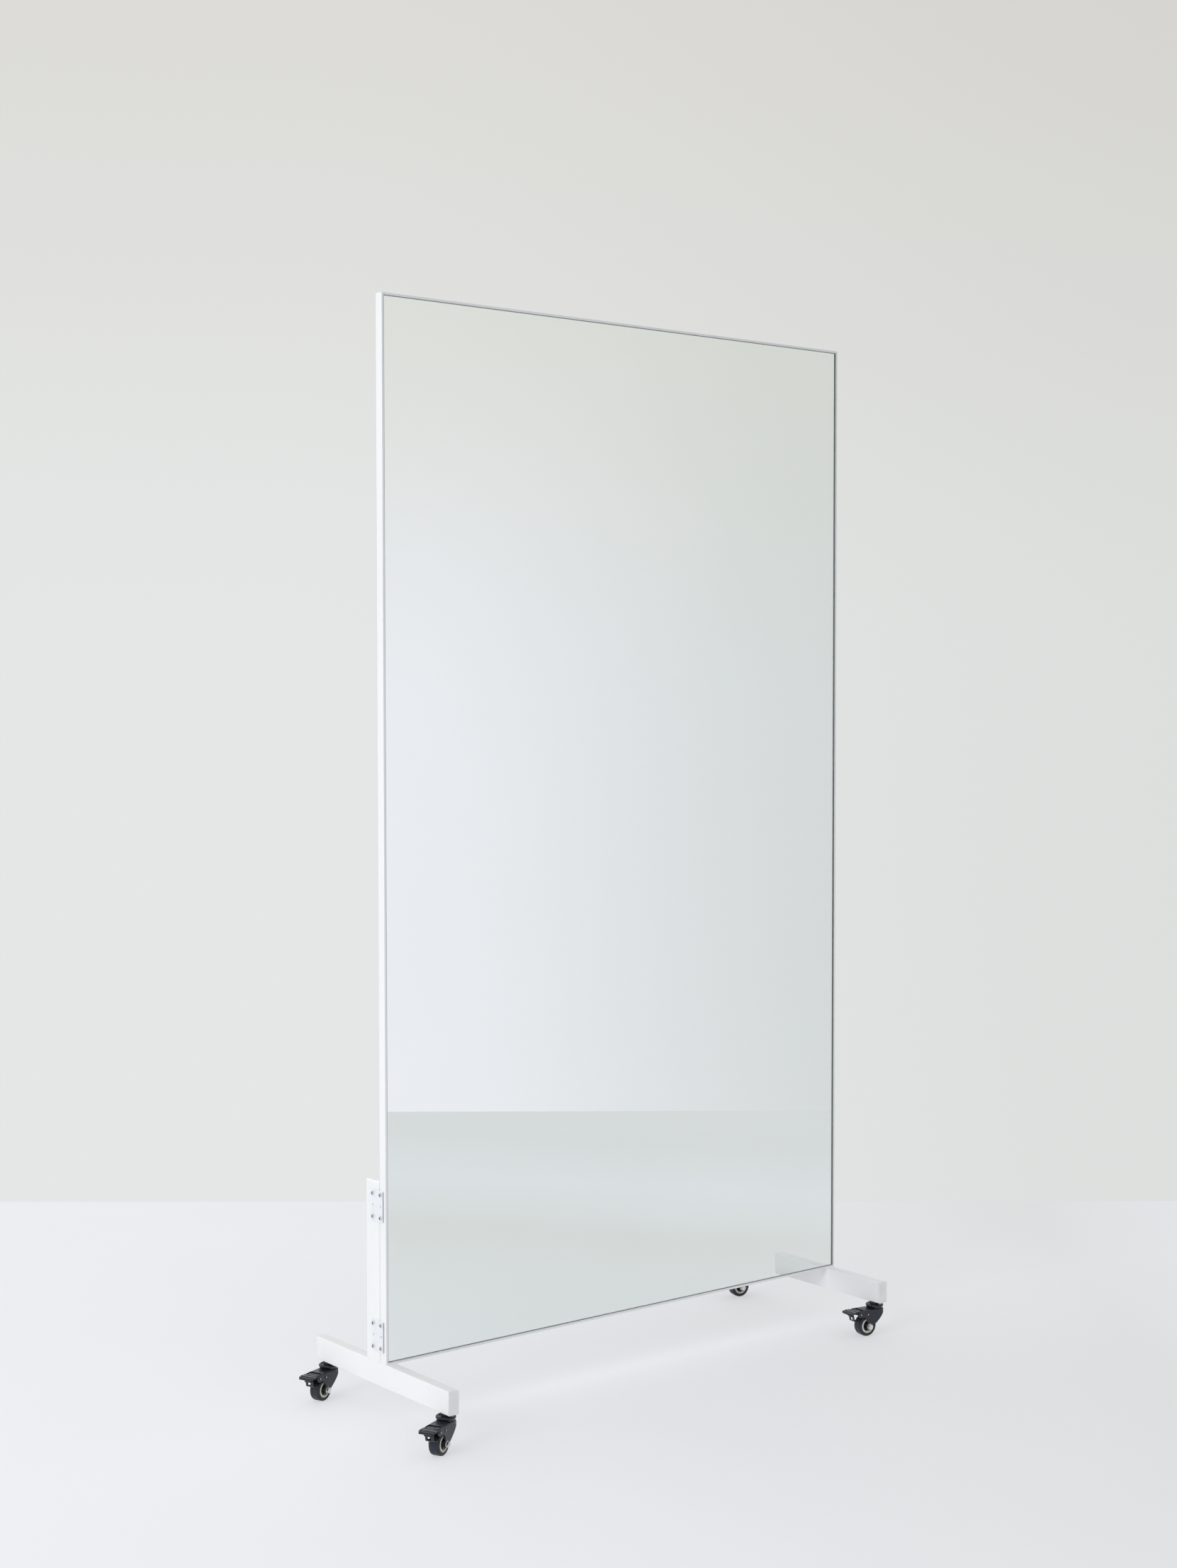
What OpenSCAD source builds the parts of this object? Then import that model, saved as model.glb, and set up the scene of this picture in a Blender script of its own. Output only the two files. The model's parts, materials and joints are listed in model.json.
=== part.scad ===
// Rolling floor mirror: a framed full-length mirror on two feet with four
// braked swivel casters. All sizes are in millimetres.
// X runs along the mirror, Y runs back from it, Z is up.
// The origin is on the floor, under the middle of the two posts.

/* [Mirror] */
// Width of the framed mirror
mirror_w = 1050; // [600:10:1200]
// Height of the framed mirror
mirror_h = 1790; // [1400:10:2000]
// Depth of the frame, front to back
frame_d = 20; // [18:0.5:30]
// Width of the rim seen from the front
rim_w = 3.8; // [3:0.1:5]
// Width of the flange behind the board
flange_w = 20; // [16:0.5:26]
// Thickness of that flange
flange_t = 2; // [1.5:0.1:2.5]
// Radius on the outer rear edge of the frame
frame_edge_r = 3; // [1:0.5:4]
// Thickness of the glass pane
glass_t = 4; // [3:0.5:6]
// Thickness of the silvering and its backing paint
silver_t = 0.2; // [0.1:0.05:0.4]
// Thickness of the foam tape
tape_t = 1.6; // [1:0.1:2]
// Width of one strip of foam tape
tape_w = 40; // [20:1:60]
// Number of tape strips
tape_count = 5; // [2:1:7]
// Distance from the ends of the glass to the tape
tape_end_gap = 60; // [20:5:200]
// Distance from the sides of the glass to the middle of the outer strips
tape_side_gap = 80; // [40:5:100]
// How far the glass lies behind the rim's front
glass_setback = 0.2; // [0:0.05:0.5]
// Gap around the glass inside the frame
glass_gap = 0.6; // [0.3:0.1:1]
// Gap around the board inside the frame
board_gap = 0.5; // [0.3:0.1:1]

/* [Board screws] */
// Diameter of the board screws
board_screw_d = 3; // [2.5:0.1:3.5]
// Head diameter of the board screws
board_screw_head_d = 6; // [5:0.1:7]
// Head height of the board screws
board_screw_head_h = 1.6; // [1:0.1:2.5]
// Length of the board screws under the head
board_screw_l = 10; // [6:0.5:12]
// Screws along each stile
stile_screw_count = 5; // [2:1:7]
// Screws along each rail
rail_screw_count = 3; // [2:1:5]
// Distance from the top of the frame to the highest stile screw
stile_screw_end = 60; // [30:5:150]
// Distance from the top of the post to the lowest stile screw
stile_screw_low = 50; // [20:5:150]
// Distance from the sides of the frame to the outer rail screws
rail_screw_end = 130; // [60:5:200]
// Width of the cross slot in a board screw
board_screw_slot = 0.7; // [0.5:0.05:1]

/* [Stands] */
// Width of the box tube, along X
tube_w = 20; // [20:0.5:30]
// Depth of the post tube, front to back
post_d = 40; // [40:1:60]
// Height of the foot tube
foot_h = 40; // [30:1:60]
// Length of the foot tube without its plugs
foot_l = 400; // [380:5:600]
// How far the post stands off the middle of its foot
post_offset = 20; // [0:1:40]
// Wall of the box tube
tube_wall = 1.5; // [1.2:0.1:2]
// Outer corner radius of the box tube
tube_r = 1.5; // [1:0.1:2.5]
// Height of the post above the foot, with its plug
post_h = 308; // [300:1:500]
// Thickness of the flange of a tube plug
plug_flange_t = 3; // [2:0.1:5]
// How far a plug goes into the tube
plug_depth = 9; // [8:0.5:20]
// Gap between a foot plug and the weld nut
plug_nut_gap = 1.3; // [1:0.1:4]
// Gap between the post plug and the highest plate screw
plug_screw_gap = 7.3; // [1:0.1:8]
// Wall of the hollow plug
plug_wall = 2; // [1.5:0.1:3]

/* [Joining plates] */
// Height of a joining plate
plate_h = 53; // [50:1:70]
// Width of a joining plate, front to back
plate_w = 36; // [34:0.5:40]
// Thickness of a joining plate
plate_t = 2; // [1.5:0.1:3]
// Corner radius of a joining plate
plate_r = 1.5; // [0.5:0.1:4]
// Distance between the two columns of holes
plate_col_pitch = 23.5; // [22:0.5:25]
// Distance from the middle of the post forward to its column of holes
post_col_front = 3.8; // [3:0.1:5]
// Distance between two rows of holes
plate_row_pitch = 19.7; // [15:0.1:20.5]
// Diameter of a hole in the plate
plate_hole_d = 4.6; // [4.3:0.1:5]
// Centre of the lower plate above the foot
lower_plate_z = 45.5; // [35:0.5:80]
// Diameter of a plate screw
plate_screw_d = 4; // [3.5:0.1:4.2]
// Head diameter of a plate screw
plate_screw_head_d = 7.6; // [7:0.1:9]
// Head height of a plate screw
plate_screw_head_h = 2.2; // [1.5:0.1:3]
// Length of a plate screw under the head
plate_screw_l = 14; // [10:0.5:16]
// Width of the cross slot in a plate screw
plate_screw_slot = 0.9; // [0.7:0.05:1.2]

/* [Casters] */
// Height from the floor to the underside of the foot
caster_h = 64; // [63:0.5:75]
// Distance from the stem axis to the wheel axis
trail = 22.6; // [22:0.2:23.6]
// Wheel diameter
wheel_d = 40; // [38:0.2:41]
// Wheel width
wheel_w = 19; // [16:0.5:20]
// Diameter of the pale wheel core
hub_d = 28; // [26:0.5:30]
// Wall of the rim of the wheel core
hub_rim_t = 4; // [3:0.1:5]
// Thickness of the web in the wheel core
hub_web_t = 5; // [3:0.5:8]
// Diameter of the boss of the wheel core
hub_boss_d = 11; // [9:0.5:13]
// Radius on the shoulders of the tyre
tyre_shoulder_r = 3; // [2:0.1:4]
// Diameter of the axle bolt
axle_d = 5; // [4:0.1:6]
// Size across the flats of the axle bolt head and nut
axle_hex = 9; // [8.5:0.1:11]
// Height of the head of the axle bolt
axle_head_h = 4; // [3:0.1:5]
// Height of the axle nut
axle_nut_h = 3.7; // [3:0.1:5]
// Thickness of the flange on the axle nut
axle_nut_flange_t = 1; // [0.8:0.1:1.5]
// Length of the axle bolt beyond its nut
axle_tail = 1; // [0.5:0.1:2]
// Diameter of the stem
stem_d = 10; // [8:0.1:11]
// Diameter of the flange of the stem
stem_flange_d = 17; // [14:0.5:19]
// Thickness of the flange of the stem
stem_flange_t = 2.4; // [2:0.1:2.6]
// Height of the lock nut on the stem
lock_nut_h = 4; // [3.6:0.1:4.4]
// Diameter of the rivet head under the fork
rivet_d = 16; // [15:0.1:17]
// Thickness of the rivet head under the fork
rivet_t = 2.2; // [1.5:0.1:2.4]
// Height of the weld nut in the foot
weld_nut_h = 8; // [6:0.5:10]
// Size across the flats of the weld nut and the lock nut
nut_hex = 16; // [14:0.1:16.5]
// Diameter of the swivel cup
cup_d = 34; // [33:0.2:38]
// Radius of the rolled rim of the cup
cup_rim_r = 2.6; // [2:0.1:2.8]
// Diameter of the bearing balls
ball_d = 4; // [3:0.1:4.2]
// Number of balls in one bearing
ball_count = 12; // [8:1:13]
// Diameter of the circle through the balls
ball_circle_d = 21; // [19.4:0.2:21]
// Width over the fork
fork_w = 29; // [28:0.5:32]
// Sheet thickness of the fork
fork_t = 2; // [1.5:0.1:2]
// Height of the top of the fork above the floor
fork_top_z = 52; // [51.5:0.1:52.5]
// Radius of the round front of the fork
fork_nose_r = 17; // [16.5:0.1:20]
// Width of the fork leg around the axle
fork_toe_d = 13; // [12:0.5:16]
// Heading of the left front caster
lf_heading = 206; // [0:1:359]
// Heading of the left rear caster
lr_heading = 201; // [0:1:359]
// Heading of the right front caster
rf_heading = 172; // [0:1:359]
// Heading of the right rear caster
rr_heading = 170; // [0:1:359]

/* [Brakes] */
// Distance from the stem axis to the pedal's pivot
pivot_u = 43; // [42:0.5:44]
// Height of the pedal's pivot
pivot_z = 45; // [44.5:0.1:45.4]
// Diameter of the pivot pin
pivot_d = 4; // [3:0.1:5]
// Distance from the stem axis to the stop pin
stop_u = 26.5; // [25:0.5:30]
// Height of the stop pin
stop_z = 43.7; // [43.2:0.1:44.5]
// Diameter of the stop pin
stop_d = 3; // [2:0.1:3.4]
// Distance from the stem axis to the tip of the pedal
pedal_reach = 68.5; // [66:0.5:75]
// Width of the pedal
pedal_w = 29; // [26:0.5:34]
// Height of the pedal's underside above the floor
pedal_z = 48.2; // [48:0.1:48.6]
// Thickness of the pedal
pedal_t = 2; // [1.5:0.1:2.5]
// Radius on the corners of the pedal
pedal_corner_r = 2.5; // [1.5:0.1:3.5]
// Radius of the roll at the tip of the pedal
tip_r = 2.4; // [2:0.1:2.6]
// Number of ribs on the pedal
rib_count = 4; // [2:1:5]
// Width of one rib
rib_w = 2; // [1:0.1:2.4]
// Height of the ribs above the pedal
rib_h = 0.8; // [0.4:0.1:1.2]
// Thickness of the cheeks of the pedal
cheek_t = 1.5; // [1.2:0.1:1.8]
// Radius of the cheeks around the pivot
cheek_r = 5; // [4.5:0.1:5.5]
// Width of the brake shoe
shoe_w = 17; // [14:0.5:18]
// Width of the window in the shoe
shoe_window_w = 7; // [4:0.5:9]
// Thickness of the strip that forms the shoe
shoe_t = 1.8; // [1:0.1:2]
// Radius of the pad that meets the tyre
pad_r = 1.8; // [1.5:0.1:2]
// Angle the pedal turns until the shoe meets the tyre
brake_turn = 6; // [4:0.5:8]

/* [Fits] */
// Radial gap of a running fit
run_gap = 0.05; // [0.02:0.01:0.1]
// Radial gap around a screw in its tapped hole
thread_gap = 0.05; // [0.02:0.01:0.1]
// Gap between a plug and the tube
plug_gap = 0.1; // [0.05:0.05:0.2]

/* [Hidden] */
$fn = 64;
// Overlap of shapes that are joined or cut
eps = 0.5;
// Share of a screw's head across its top, and across its cross slot
board_head_top = 0.7;
plate_head_top = 0.65;
recess_share = 0.5;
recess_depth = 0.8;

// Frame
frame_z = caster_h + foot_h;
frame_y = -post_d / 2 - frame_d;
frame_top_z = frame_z + mirror_h;
board_t = frame_d - flange_t - glass_setback - glass_t - silver_t - tape_t;
glass_w = mirror_w - 2 * (rim_w + glass_gap);
glass_h = mirror_h - 2 * (rim_w + glass_gap);
board_w = mirror_w - 2 * (rim_w + board_gap);
board_h = mirror_h - 2 * (rim_w + board_gap);
frame_mid_z = frame_z + mirror_h / 2;
silver_y = frame_y + glass_setback + glass_t;
tape_y = silver_y + silver_t;
board_y = tape_y + tape_t;
tape_h = glass_h - 2 * tape_end_gap;
tape_pitch = (glass_w - 2 * tape_side_gap) / (tape_count - 1);

// Board screws
flange_mid = (rim_w + flange_w) / 2;
stile_screw_z0 = frame_z + post_h + stile_screw_low;
stile_screw_z1 = frame_top_z - stile_screw_end;
stile_screw_pitch = (stile_screw_z1 - stile_screw_z0) / (stile_screw_count - 1);
rail_screw_x1 = mirror_w / 2 - rail_screw_end;
rail_screw_pitch = 2 * rail_screw_x1 / (rail_screw_count - 1);

// Stands
stand_x = (mirror_w - tube_w) / 2;
post_tube_h = post_h - plug_flange_t;
// The corner of the nut lies clear of the plug, with the stem in its middle
stem_inset = plug_depth + plug_nut_gap + nut_hex / 2 / cos(30);
stem_y = foot_l / 2 - stem_inset;

// Joining plates
plate_x = mirror_w / 2;
post_col_y = -post_col_front;
plate_y = post_col_y - plate_col_pitch / 2;
frame_col_y = post_col_y - plate_col_pitch;
// The highest screw lies clear of the plug in the post
top_screw_z = post_tube_h - plug_depth - plug_screw_gap - plate_screw_d / 2;
upper_plate_z = top_screw_z - plate_row_pitch;

// Casters
lock_nut_z = caster_h - lock_nut_h;
stem_flange_z = lock_nut_z - stem_flange_t;
stem_bore_r = stem_d / 2 + run_gap;
// Thread end of the stem, above the weld nut
stem_tail = 2;
stem_chamfer = 1;
rivet_gap = 0.1;
rivet_top_z = fork_top_z - fork_t - rivet_gap;
fork_plate_z = fork_top_z - fork_t;
// Lower race, its wall beside the balls and the floor under them
race_h = 1.5;
race_wall = 0.4;
race_floor = 0.2;
race_w = ball_d + 2 * race_wall;
ball_z = fork_top_z + ball_d / 2 + run_gap + race_floor;
groove_r = ball_d / 2 + run_gap;
// Cup: underside above the balls' middle, skirt clear of the fork and race
cup_under = 0.6;
skirt_gap = 0.5;
rim_proud = 1.4;
rim_rise = 1.6;
cup_under_z = ball_z + cup_under;
cup_skirt_z = fork_top_z + skirt_gap;
cup_body_r = cup_d / 2 - rim_proud;
cup_skirt_r = (ball_circle_d + race_w) / 2 + skirt_gap;
cup_rim_z = cup_under_z + rim_rise;
wheel_r = wheel_d / 2;
fork_in = fork_w / 2 - fork_t;
fork_cheek_r = 6.5;
fork_back_u = pivot_u + fork_cheek_r;
plate_end_u = 35;
// Side outline of the fork: its closed front, then the edge down to the toe
front_drop = 6;
front_mid_drop = 10;
front_low_drop = 16;
toe_front_rise = 6.4;
toe_back_rise = 8;
leg_back_rise = 15.6;
ear_run = 6;
ear_rise = 0.6;
// Gap between the hub and the fork, and from the rim to the tyre's side
hub_side_gap = 0.2;
hub_inset = 0.2;
hub_half = fork_in - hub_side_gap;
nut_round = 0.6;

// Brakes
cheek_gap = 0.3;
cheek_out = fork_in - cheek_gap;
pedal_start_gap = 1;
pedal_start_u = plate_end_u + pedal_start_gap;
pedal_wide_gap = 0.8;
pedal_wide_u = fork_back_u + pedal_wide_gap;
tip_rise = 0.4;
tip_u = pedal_reach - tip_r;
// Ribs: first one from the pivot, free length before the tip, side margin
rib_first = 2;
rib_free = 4;
rib_margin = 1;
rib_pitch = (tip_u - pivot_u - rib_free) / rib_count;
cheek_run = 6;
// Place of the pad on the tyre, as an angle above the axle
pad_face_angle = 27;
pad_gap = 0.05;
pad_far = wheel_r + pad_r + pad_gap;
// Pad centre, from the pivot, with the pedal fully down
pad_down = [
    trail + pad_far * cos(pad_face_angle) - pivot_u,
    wheel_r + pad_far * sin(pad_face_angle) - pivot_z
];
// The same centre with the pedal up
pad_u = pivot_u + pad_down[0] * cos(brake_turn) - pad_down[1] * sin(brake_turn);
pad_z = pivot_z + pad_down[0] * sin(brake_turn) + pad_down[1] * cos(brake_turn);
// Lowest bend of the shoe, behind and below the pivot
hook_back = 15;
hook_drop = 9;
hook_u = pivot_u + hook_back;
hook_z = pivot_z - hook_drop;
// Bend where the shoe meets the pedal
hook_bend_r = 1.6;
hook_lean = 1;
window_reach = 5;
window_top_gap = 2;
// Heads of the two pins
pin_head_t = 1.2;
pin_head_rim = 1.2;
pin_tail = 0.2;

// ---------- helpers ----------

// Rectangle centred on the origin, with rounded corners
module rounded_rect(a, b, r) {
    square([a - 2 * r, b], center = true);
    square([a, b - 2 * r], center = true);
    for (sa = [-1, 1])
        for (sb = [-1, 1])
            translate([sa * (a / 2 - r), sb * (b / 2 - r)])
                circle(r);
}

// Box tube section centred on the origin
module tube_section(a, b) {
    difference() {
        rounded_rect(a, b, tube_r);
        square([a - 2 * tube_wall, b - 2 * tube_wall], center = true);
    }
}

// Extrudes a side view (distance from the stem, height) between two sides
module across(v0, v1) {
    translate([0, v1, 0])
        rotate([90, 0, 0])
            linear_extrude(v1 - v0)
                children();
}

// Turns a section (radius, side) about the wheel axis
module about_axle() {
    translate([trail, 0, wheel_r])
        rotate([-90, 0, 0])
            rotate_extrude()
                children();
}

// Puts a caster part at its stem and turns it to its heading
module at_caster(sx, sy, heading) {
    translate([sx * stand_x, sx * post_offset + sy * stem_y, 0])
        rotate([0, 0, heading])
            children();
}

// ---------- mirror and frame ----------

// Frame section: first axis from front to rear, second axis inwards
module frame_section() {
    difference() {
        union() {
            square([frame_d, rim_w]);
            translate([frame_d - flange_t, 0])
                square([flange_t, flange_w]);
        }
        difference() {
            translate([frame_d - frame_edge_r, -eps])
                square([frame_edge_r + eps, frame_edge_r + eps]);
            translate([frame_d - frame_edge_r, frame_edge_r])
                circle(frame_edge_r);
        }
    }
}

// Mitred bar along X with its outer face down and its front at Y = 0
module frame_bar(len) {
    intersection() {
        translate([-len / 2, 0, 0])
            rotate([90, 0, 90])
                linear_extrude(len)
                    frame_section();
        translate([0, frame_d + eps, 0])
            rotate([90, 0, 0])
                linear_extrude(frame_d + 2 * eps)
                    polygon([
                        [-len / 2, 0],
                        [len / 2, 0],
                        [len / 2 - flange_w, flange_w],
                        [-len / 2 + flange_w, flange_w]
                    ]);
    }
}

// Axes of the board screws, pointing to the rear from the flange's back
module at_board_screws() {
    for (s = [-1, 1])
        for (i = [0 : stile_screw_count - 1])
            translate([
                s * (mirror_w / 2 - flange_mid),
                -post_d / 2,
                stile_screw_z0 + i * stile_screw_pitch
            ])
                rotate([-90, 0, 0])
                    children();
    for (z = [frame_z + flange_mid, frame_top_z - flange_mid])
        for (i = [0 : rail_screw_count - 1])
            translate([-rail_screw_x1 + i * rail_screw_pitch, -post_d / 2, z])
                rotate([-90, 0, 0])
                    children();
}

module board_screw_holes() {
    at_board_screws()
        translate([0, 0, -board_screw_l - eps])
            cylinder(h = board_screw_l + 2 * eps, d = board_screw_d + 2 * thread_gap);
}

module board_screws() {
    color("silver")
        at_board_screws()
            difference() {
                union() {
                    translate([0, 0, -board_screw_l])
                        cylinder(h = board_screw_l + eps, d = board_screw_d);
                    cylinder(
                        h = board_screw_head_h,
                        d1 = board_screw_head_d,
                        d2 = board_screw_head_d * board_head_top
                    );
                }
                cross_recess(
                    board_screw_head_d * recess_share,
                    board_screw_slot,
                    board_screw_head_h
                );
            }
}

// Cross recess in a screw head whose top is at height h
module cross_recess(size, slot, h) {
    translate([0, 0, h])
        cube([size, slot, 2 * recess_depth], center = true);
    translate([0, 0, h])
        cube([slot, size, 2 * recess_depth], center = true);
}

module frame_stile() {
    difference() {
        translate([-mirror_w / 2, frame_y, frame_mid_z])
            rotate([0, 90, 0])
                frame_bar(mirror_h);
        plate_screw_holes();
        board_screw_holes();
    }
}

module frame_left_stile() {
    color("white")
        frame_stile();
}

module frame_right_stile() {
    color("white")
        mirror([1, 0, 0])
            frame_stile();
}

module frame_bottom_rail() {
    color("white")
        difference() {
            translate([0, frame_y, frame_z])
                frame_bar(mirror_w);
            board_screw_holes();
        }
}

module frame_top_rail() {
    color("white")
        difference() {
            translate([0, frame_y, frame_top_z])
                mirror([0, 0, 1])
                    frame_bar(mirror_w);
            board_screw_holes();
        }
}

module mirror_glass() {
    color("lightcyan")
        translate([-glass_w / 2, frame_y + glass_setback, frame_mid_z - glass_h / 2])
            cube([glass_w, glass_t, glass_h]);
}

module silvering() {
    color("lightgrey")
        translate([-glass_w / 2, silver_y, frame_mid_z - glass_h / 2])
            cube([glass_w, silver_t, glass_h]);
}

module mounting_tape() {
    color("dimgrey")
        for (i = [0 : tape_count - 1])
            translate([
                (i - (tape_count - 1) / 2) * tape_pitch - tape_w / 2,
                tape_y,
                frame_mid_z - tape_h / 2
            ])
                cube([tape_w, tape_t, tape_h]);
}

module back_board() {
    color("burlywood")
        difference() {
            translate([-board_w / 2, board_y, frame_mid_z - board_h / 2])
                cube([board_w, board_t, board_h]);
            board_screw_holes();
            plate_screw_holes();
            mirror([1, 0, 0])
                plate_screw_holes();
        }
}

// ---------- stands ----------

// Foot tube about its own middle, underside at the caster height
module foot_tube() {
    difference() {
        translate([0, foot_l / 2, caster_h + foot_h / 2])
            rotate([90, 0, 0])
                linear_extrude(foot_l)
                    tube_section(tube_w, foot_h);
        for (s = [-1, 1])
            translate([0, s * stem_y, caster_h - eps])
                cylinder(h = tube_wall + 2 * eps, d = stem_d + 2 * run_gap);
    }
}

module left_foot() {
    color("white")
        translate([-stand_x, -post_offset, 0])
            foot_tube();
}

module right_foot() {
    color("white")
        translate([stand_x, post_offset, 0])
            foot_tube();
}

// One weld nut on the inside of the foot's lower wall
module weld_nut() {
    translate([0, 0, caster_h + tube_wall])
        difference() {
            cylinder(h = weld_nut_h, d = nut_hex / cos(30), $fn = 6);
            translate([0, 0, -eps])
                cylinder(h = weld_nut_h + 2 * eps, d = stem_d + 2 * thread_gap);
        }
}

module weld_nuts() {
    color("grey")
        for (sx = [-1, 1])
            for (sy = [-1, 1])
                at_caster(sx, sy, 90)
                    weld_nut();
}

// Plug for a tube of the given section, flange on top, open below
module tube_plug(a, b) {
    linear_extrude(plug_flange_t)
        rounded_rect(a, b, tube_r);
    translate([0, 0, -plug_depth])
        linear_extrude(plug_depth + eps)
            difference() {
                square(
                    [a - 2 * (tube_wall + plug_gap), b - 2 * (tube_wall + plug_gap)],
                    center = true
                );
                square(
                    [
                        a - 2 * (tube_wall + plug_gap + plug_wall),
                        b - 2 * (tube_wall + plug_gap + plug_wall)
                    ],
                    center = true
                );
            }
}

module foot_plugs() {
    for (s = [-1, 1])
        translate([0, s * foot_l / 2, caster_h + foot_h / 2])
            rotate([-s * 90, 0, 0])
                tube_plug(tube_w, foot_h);
}

module left_foot_plugs() {
    color("whitesmoke")
        translate([-stand_x, -post_offset, 0])
            foot_plugs();
}

module right_foot_plugs() {
    color("whitesmoke")
        translate([stand_x, post_offset, 0])
            foot_plugs();
}

module post_tube() {
    difference() {
        translate([-stand_x, 0, frame_z])
            linear_extrude(post_tube_h)
                tube_section(tube_w, post_d);
        plate_screw_holes();
    }
}

module left_post() {
    color("white")
        post_tube();
}

module right_post() {
    color("white")
        mirror([1, 0, 0])
            post_tube();
}

module post_plugs() {
    color("whitesmoke")
        for (s = [-1, 1])
            translate([s * stand_x, 0, frame_z + post_tube_h])
                tube_plug(tube_w, post_d);
}

// ---------- joining plates ----------

// Plate on the outer face of the left side, centred at height z
module joining_plate(z) {
    translate([-plate_x - plate_t, plate_y, frame_z + z])
        rotate([90, 0, 90])
            linear_extrude(plate_t)
                difference() {
                    rounded_rect(plate_w, plate_h, plate_r);
                    for (a = [-1, 1])
                        for (b = [-1, 0, 1])
                            translate([a * plate_col_pitch / 2, b * plate_row_pitch])
                                circle(d = plate_hole_d);
                }
}

module left_upper_plate() {
    color("silver")
        joining_plate(upper_plate_z);
}

module left_lower_plate() {
    color("silver")
        joining_plate(lower_plate_z);
}

module right_upper_plate() {
    color("silver")
        mirror([1, 0, 0])
            joining_plate(upper_plate_z);
}

module right_lower_plate() {
    color("silver")
        mirror([1, 0, 0])
            joining_plate(lower_plate_z);
}

// Axes of the plate screws on the left side, pointing out of the plate
module at_plate_screws() {
    for (z = [lower_plate_z, upper_plate_z])
        for (y = [frame_col_y, post_col_y])
            for (b = [-1, 1])
                translate([-plate_x - plate_t, y, frame_z + z + b * plate_row_pitch])
                    rotate([0, -90, 0])
                        children();
}

module plate_screw_holes() {
    at_plate_screws()
        translate([0, 0, -plate_screw_l - eps])
            cylinder(h = plate_screw_l + 2 * eps, d = plate_screw_d + 2 * thread_gap);
}

// Pan head screw, underside of the head at the origin
module plate_screw() {
    difference() {
        union() {
            translate([0, 0, -plate_screw_l])
                cylinder(h = plate_screw_l + eps, d = plate_screw_d);
            cylinder(h = plate_screw_head_h / 2, d = plate_screw_head_d);
            translate([0, 0, plate_screw_head_h / 2])
                cylinder(
                    h = plate_screw_head_h / 2,
                    d1 = plate_screw_head_d,
                    d2 = plate_screw_head_d * plate_head_top
                );
        }
        cross_recess(
            plate_screw_head_d * recess_share,
            plate_screw_slot,
            plate_screw_head_h
        );
    }
}

module plate_screws() {
    color("silver") {
        at_plate_screws()
            plate_screw();
        mirror([1, 0, 0])
            at_plate_screws()
                plate_screw();
    }
}

// ---------- casters ----------

// Stem with its flange, its thread end and the rivet head under the fork
module stem() {
    end_z = caster_h + tube_wall + weld_nut_h + stem_tail;
    rotate_extrude()
        polygon([
            [0, rivet_top_z - rivet_t],
            [rivet_d / 2, rivet_top_z - rivet_t],
            [rivet_d / 2, rivet_top_z],
            [stem_d / 2, rivet_top_z],
            [stem_d / 2, stem_flange_z],
            [stem_flange_d / 2, stem_flange_z],
            [stem_flange_d / 2, lock_nut_z],
            [stem_d / 2, lock_nut_z],
            [stem_d / 2, end_z - stem_chamfer],
            [stem_d / 2 - stem_chamfer, end_z],
            [0, end_z]
        ]);
}

module caster_stems() {
    color("silver")
        for (sx = [-1, 1])
            for (sy = [-1, 1])
                at_caster(sx, sy, 90)
                    stem();
}

// Lock nuts that clamp the stems against the feet
module lock_nuts() {
    color("silver")
        for (sx = [-1, 1])
            for (sy = [-1, 1])
                at_caster(sx, sy, 90)
                    translate([0, 0, lock_nut_z])
                        linear_extrude(lock_nut_h)
                            difference() {
                                circle(d = nut_hex / cos(30), $fn = 6);
                                circle(d = stem_d + 2 * thread_gap);
                            }
}

module swivel_balls() {
    color("silver")
        for (sx = [-1, 1])
            for (sy = [-1, 1])
                at_caster(sx, sy, 90)
                    for (i = [0 : ball_count - 1])
                        rotate([0, 0, i * 360 / ball_count])
                            translate([ball_circle_d / 2, 0, ball_z])
                                sphere(d = ball_d);
}

// Swivel cup: race, rolled rim and a skirt over the balls
module cup() {
    color("black")
        rotate_extrude()
            difference() {
                union() {
                    translate([stem_bore_r, cup_under_z])
                        square([cup_body_r - stem_bore_r, stem_flange_z - cup_under_z]);
                    translate([cup_skirt_r, cup_skirt_z])
                        square([cup_body_r - cup_skirt_r, stem_flange_z - cup_skirt_z]);
                    translate([cup_d / 2 - cup_rim_r, cup_rim_z])
                        circle(cup_rim_r);
                }
                translate([ball_circle_d / 2, ball_z])
                    circle(groove_r);
            }
}

// Plan of the fork: a round front between straight legs
module fork_plan(half, nose, back) {
    intersection() {
        circle(nose);
        translate([-nose, -half])
            square([nose + eps, 2 * half]);
    }
    translate([0, -half])
        square([back, 2 * half]);
}

// Side view of the fork
module fork_side() {
    toe = fork_toe_d / 2;
    polygon([
        [-fork_nose_r - eps, fork_top_z],
        [-fork_nose_r - eps, fork_top_z - front_drop],
        [-fork_nose_r / 2, fork_top_z - front_mid_drop],
        [-fork_nose_r / 4, fork_top_z - front_low_drop],
        [trail / 4, wheel_r + toe_front_rise],
        [trail - toe * 0.8, wheel_r],
        [trail, wheel_r - toe * 0.5],
        [trail + toe * 0.8, wheel_r],
        [trail + toe * 0.5, wheel_r + toe_back_rise],
        [trail + toe, wheel_r + leg_back_rise],
        [pivot_u - ear_run, pivot_z - fork_cheek_r + ear_rise],
        [pivot_u, pivot_z - fork_cheek_r],
        [pivot_u, pivot_z + fork_cheek_r],
        [plate_end_u, fork_top_z]
    ]);
    translate([trail, wheel_r])
        circle(toe);
    translate([pivot_u, pivot_z])
        circle(fork_cheek_r);
}

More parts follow.
